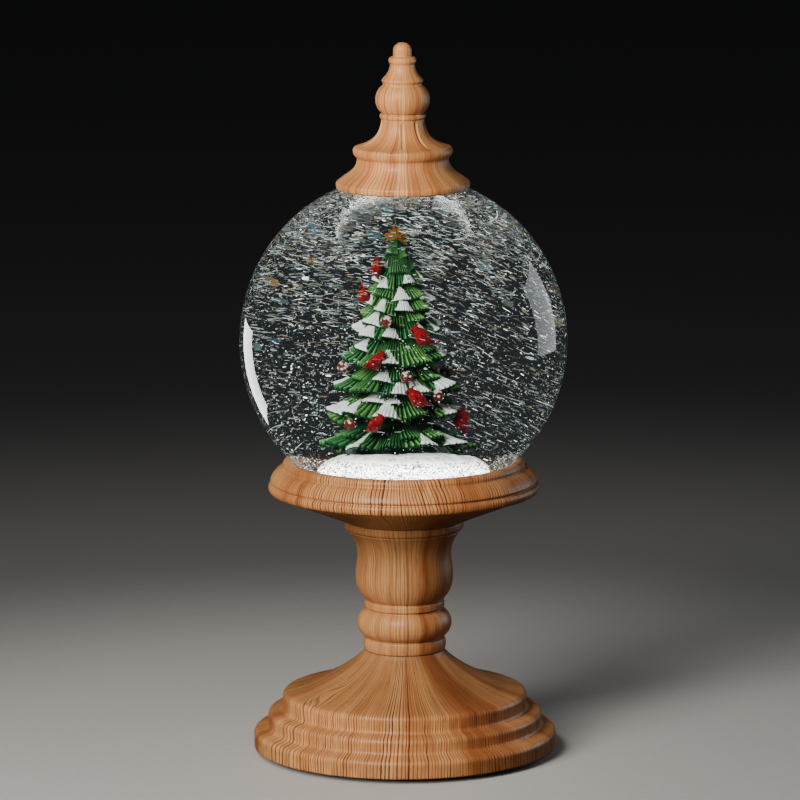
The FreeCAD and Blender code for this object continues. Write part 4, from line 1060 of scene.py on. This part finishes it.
def finish_frame_nodes():
    finishes = {slot: plain_stuff(*looks) for slot, *looks in FINISHES}
    slots = {part["node"]: part["material_slot"] for part in frame["record"]["subparts"]}
    for name, piece in frame["nodes"].items():
        stuff = finishes.get(slots[name])
        if stuff:
            for place in piece.material_slots:
                place.material = stuff


# ---- floor, lights, camera ----


FLOOR_R = 3.6
FLOOR_RINGS = 24
FLOOR_SIDES = 96
LIGHT_POOL_LENGTH = 3.4


def build_floor():
    """A round table top with a painted pool of light: pale by the object, darkening softly far from it."""
    made, tree, shader, where = material("pale_floor")
    far = add(tree, "VectorMath", {0: where}, operation="LENGTH").outputs["Value"]
    # Painted light: the floor's colour falls from pale to near black with distance, a painted pool of light.
    fade = ramp(tree, calc(tree, "DIVIDE", far, LIGHT_POOL_LENGTH), (0.0, (0.60, 0.58, 0.55)),
                (0.045, (0.52, 0.50, 0.48)), (0.12, (0.21, 0.205, 0.20)), (0.26, (0.07, 0.07, 0.07)),
                (1.0, (0.045, 0.045, 0.047)), smooth=True)
    grain = ramp(tree, cloud(tree, where, 300.0, 4.0, 0.6), (0.3, 0.96), (0.7, 1.03))
    feed(tree, shader, Base_Color=blend(tree, 1.0, fade, grain, "MULTIPLY"), Roughness=0.55)
    rings = [0.0] + [FLOOR_R * (k / FLOOR_RINGS) ** 1.6 for k in range(1, FLOOR_RINGS + 1)]
    turns = [2 * math.pi * i / FLOOR_SIDES for i in range(FLOOR_SIDES)]
    points = [(r * math.cos(a) / MM, r * math.sin(a) / MM, 0.0) for r in rings for a in turns]
    floor = mesh_piece("floor", points, band_faces(0, len(rings), FLOOR_SIDES), made)
    floor.visible_diffuse = floor.visible_glossy = floor.visible_transmission = False


WARM = (1.0, 0.97, 0.93)


def softbox(name, place, aim, width, height, power, tint=(1, 1, 1), glossy=True, diffuse=True, only=()):
    lamp = bpy.data.lights.new(name, "AREA")
    lamp.shape, lamp.size, lamp.size_y = "RECTANGLE", width, height
    lamp.energy, lamp.color = power, tint
    made = bpy.data.objects.new(name, lamp)
    made.location = place
    made.rotation_euler = (Vector(aim) - Vector(place)).to_track_quat("-Z", "Y").to_euler()
    made.visible_glossy, made.visible_diffuse = glossy, diffuse
    made.visible_transmission = made.visible_camera = False
    if only:
        made.light_linking.receiver_collection = bpy.data.collections.new(name + "_lit")
        for piece in only:
            made.light_linking.receiver_collection.objects.link(piece)
    bpy.context.scene.collection.objects.link(made)


def build_lights(globe, woodwork):
    aim = (0, 0, 0.14)
    softbox("key_left", (-0.62, -0.87, 0.46), aim, 0.45, 0.45, 15.5, WARM, glossy=False)
    softbox("key_top", (-0.20, -0.40, 0.46), (0, 0, 0.26), 0.18, 0.18, 2.1, WARM, glossy=False)
    softbox("front_fill", (-0.10, -1.9, 0.45), aim, 0.9, 0.9, 0.36, glossy=False)
    softbox("strip_left", (-0.322, 0.318, 0.045), (-0.03, 0, 0.13), 0.15, 0.20, 0.85, only=[globe])
    softbox("strip_right", (0.632, 0.32, 0.235), (0.03, 0, 0.17), 0.33, 0.38, 0.9, (0.93, 0.97, 1.0))
    softbox("sheen_left", (-0.42, -0.86, 0.84), aim, 0.40, 0.40, 9.0, WARM, diffuse=False, only=woodwork)
    world = bpy.data.worlds.new("studio")
    bpy.context.scene.world = world
    world.use_nodes = True
    world.node_tree.nodes["Background"].inputs["Color"].default_value = (0.022, 0.023, 0.025, 1)
    world.node_tree.nodes["Background"].inputs["Strength"].default_value = 1.0


CAMERA_ROLL = -0.22


def build_camera():
    eye = Vector((-1.46, -2300.0, 552.5)) * MM
    look = Vector((-1.46, 0.0, 142.25)) * MM
    lens = bpy.data.cameras.new("camera")
    lens.lens, lens.sensor_width = 264.96, 36.0
    lens.clip_start, lens.clip_end = 0.05, 30.0
    camera = bpy.data.objects.new("camera", lens)
    camera.location = eye
    roll = Matrix.Rotation(math.radians(CAMERA_ROLL), 3, "Z")
    camera.rotation_euler = ((look - eye).to_track_quat("-Z", "Y").to_matrix() @ roll).to_euler()
    bpy.context.scene.collection.objects.link(camera)
    bpy.context.scene.camera = camera


woodwork = build_woodwork()
globe = build_globe()
build_snow_bed()
build_tree()
build_star()
build_birds()
build_cones()
build_flakes()
finish_frame_nodes()
build_floor()
build_lights(globe, woodwork)
build_camera()
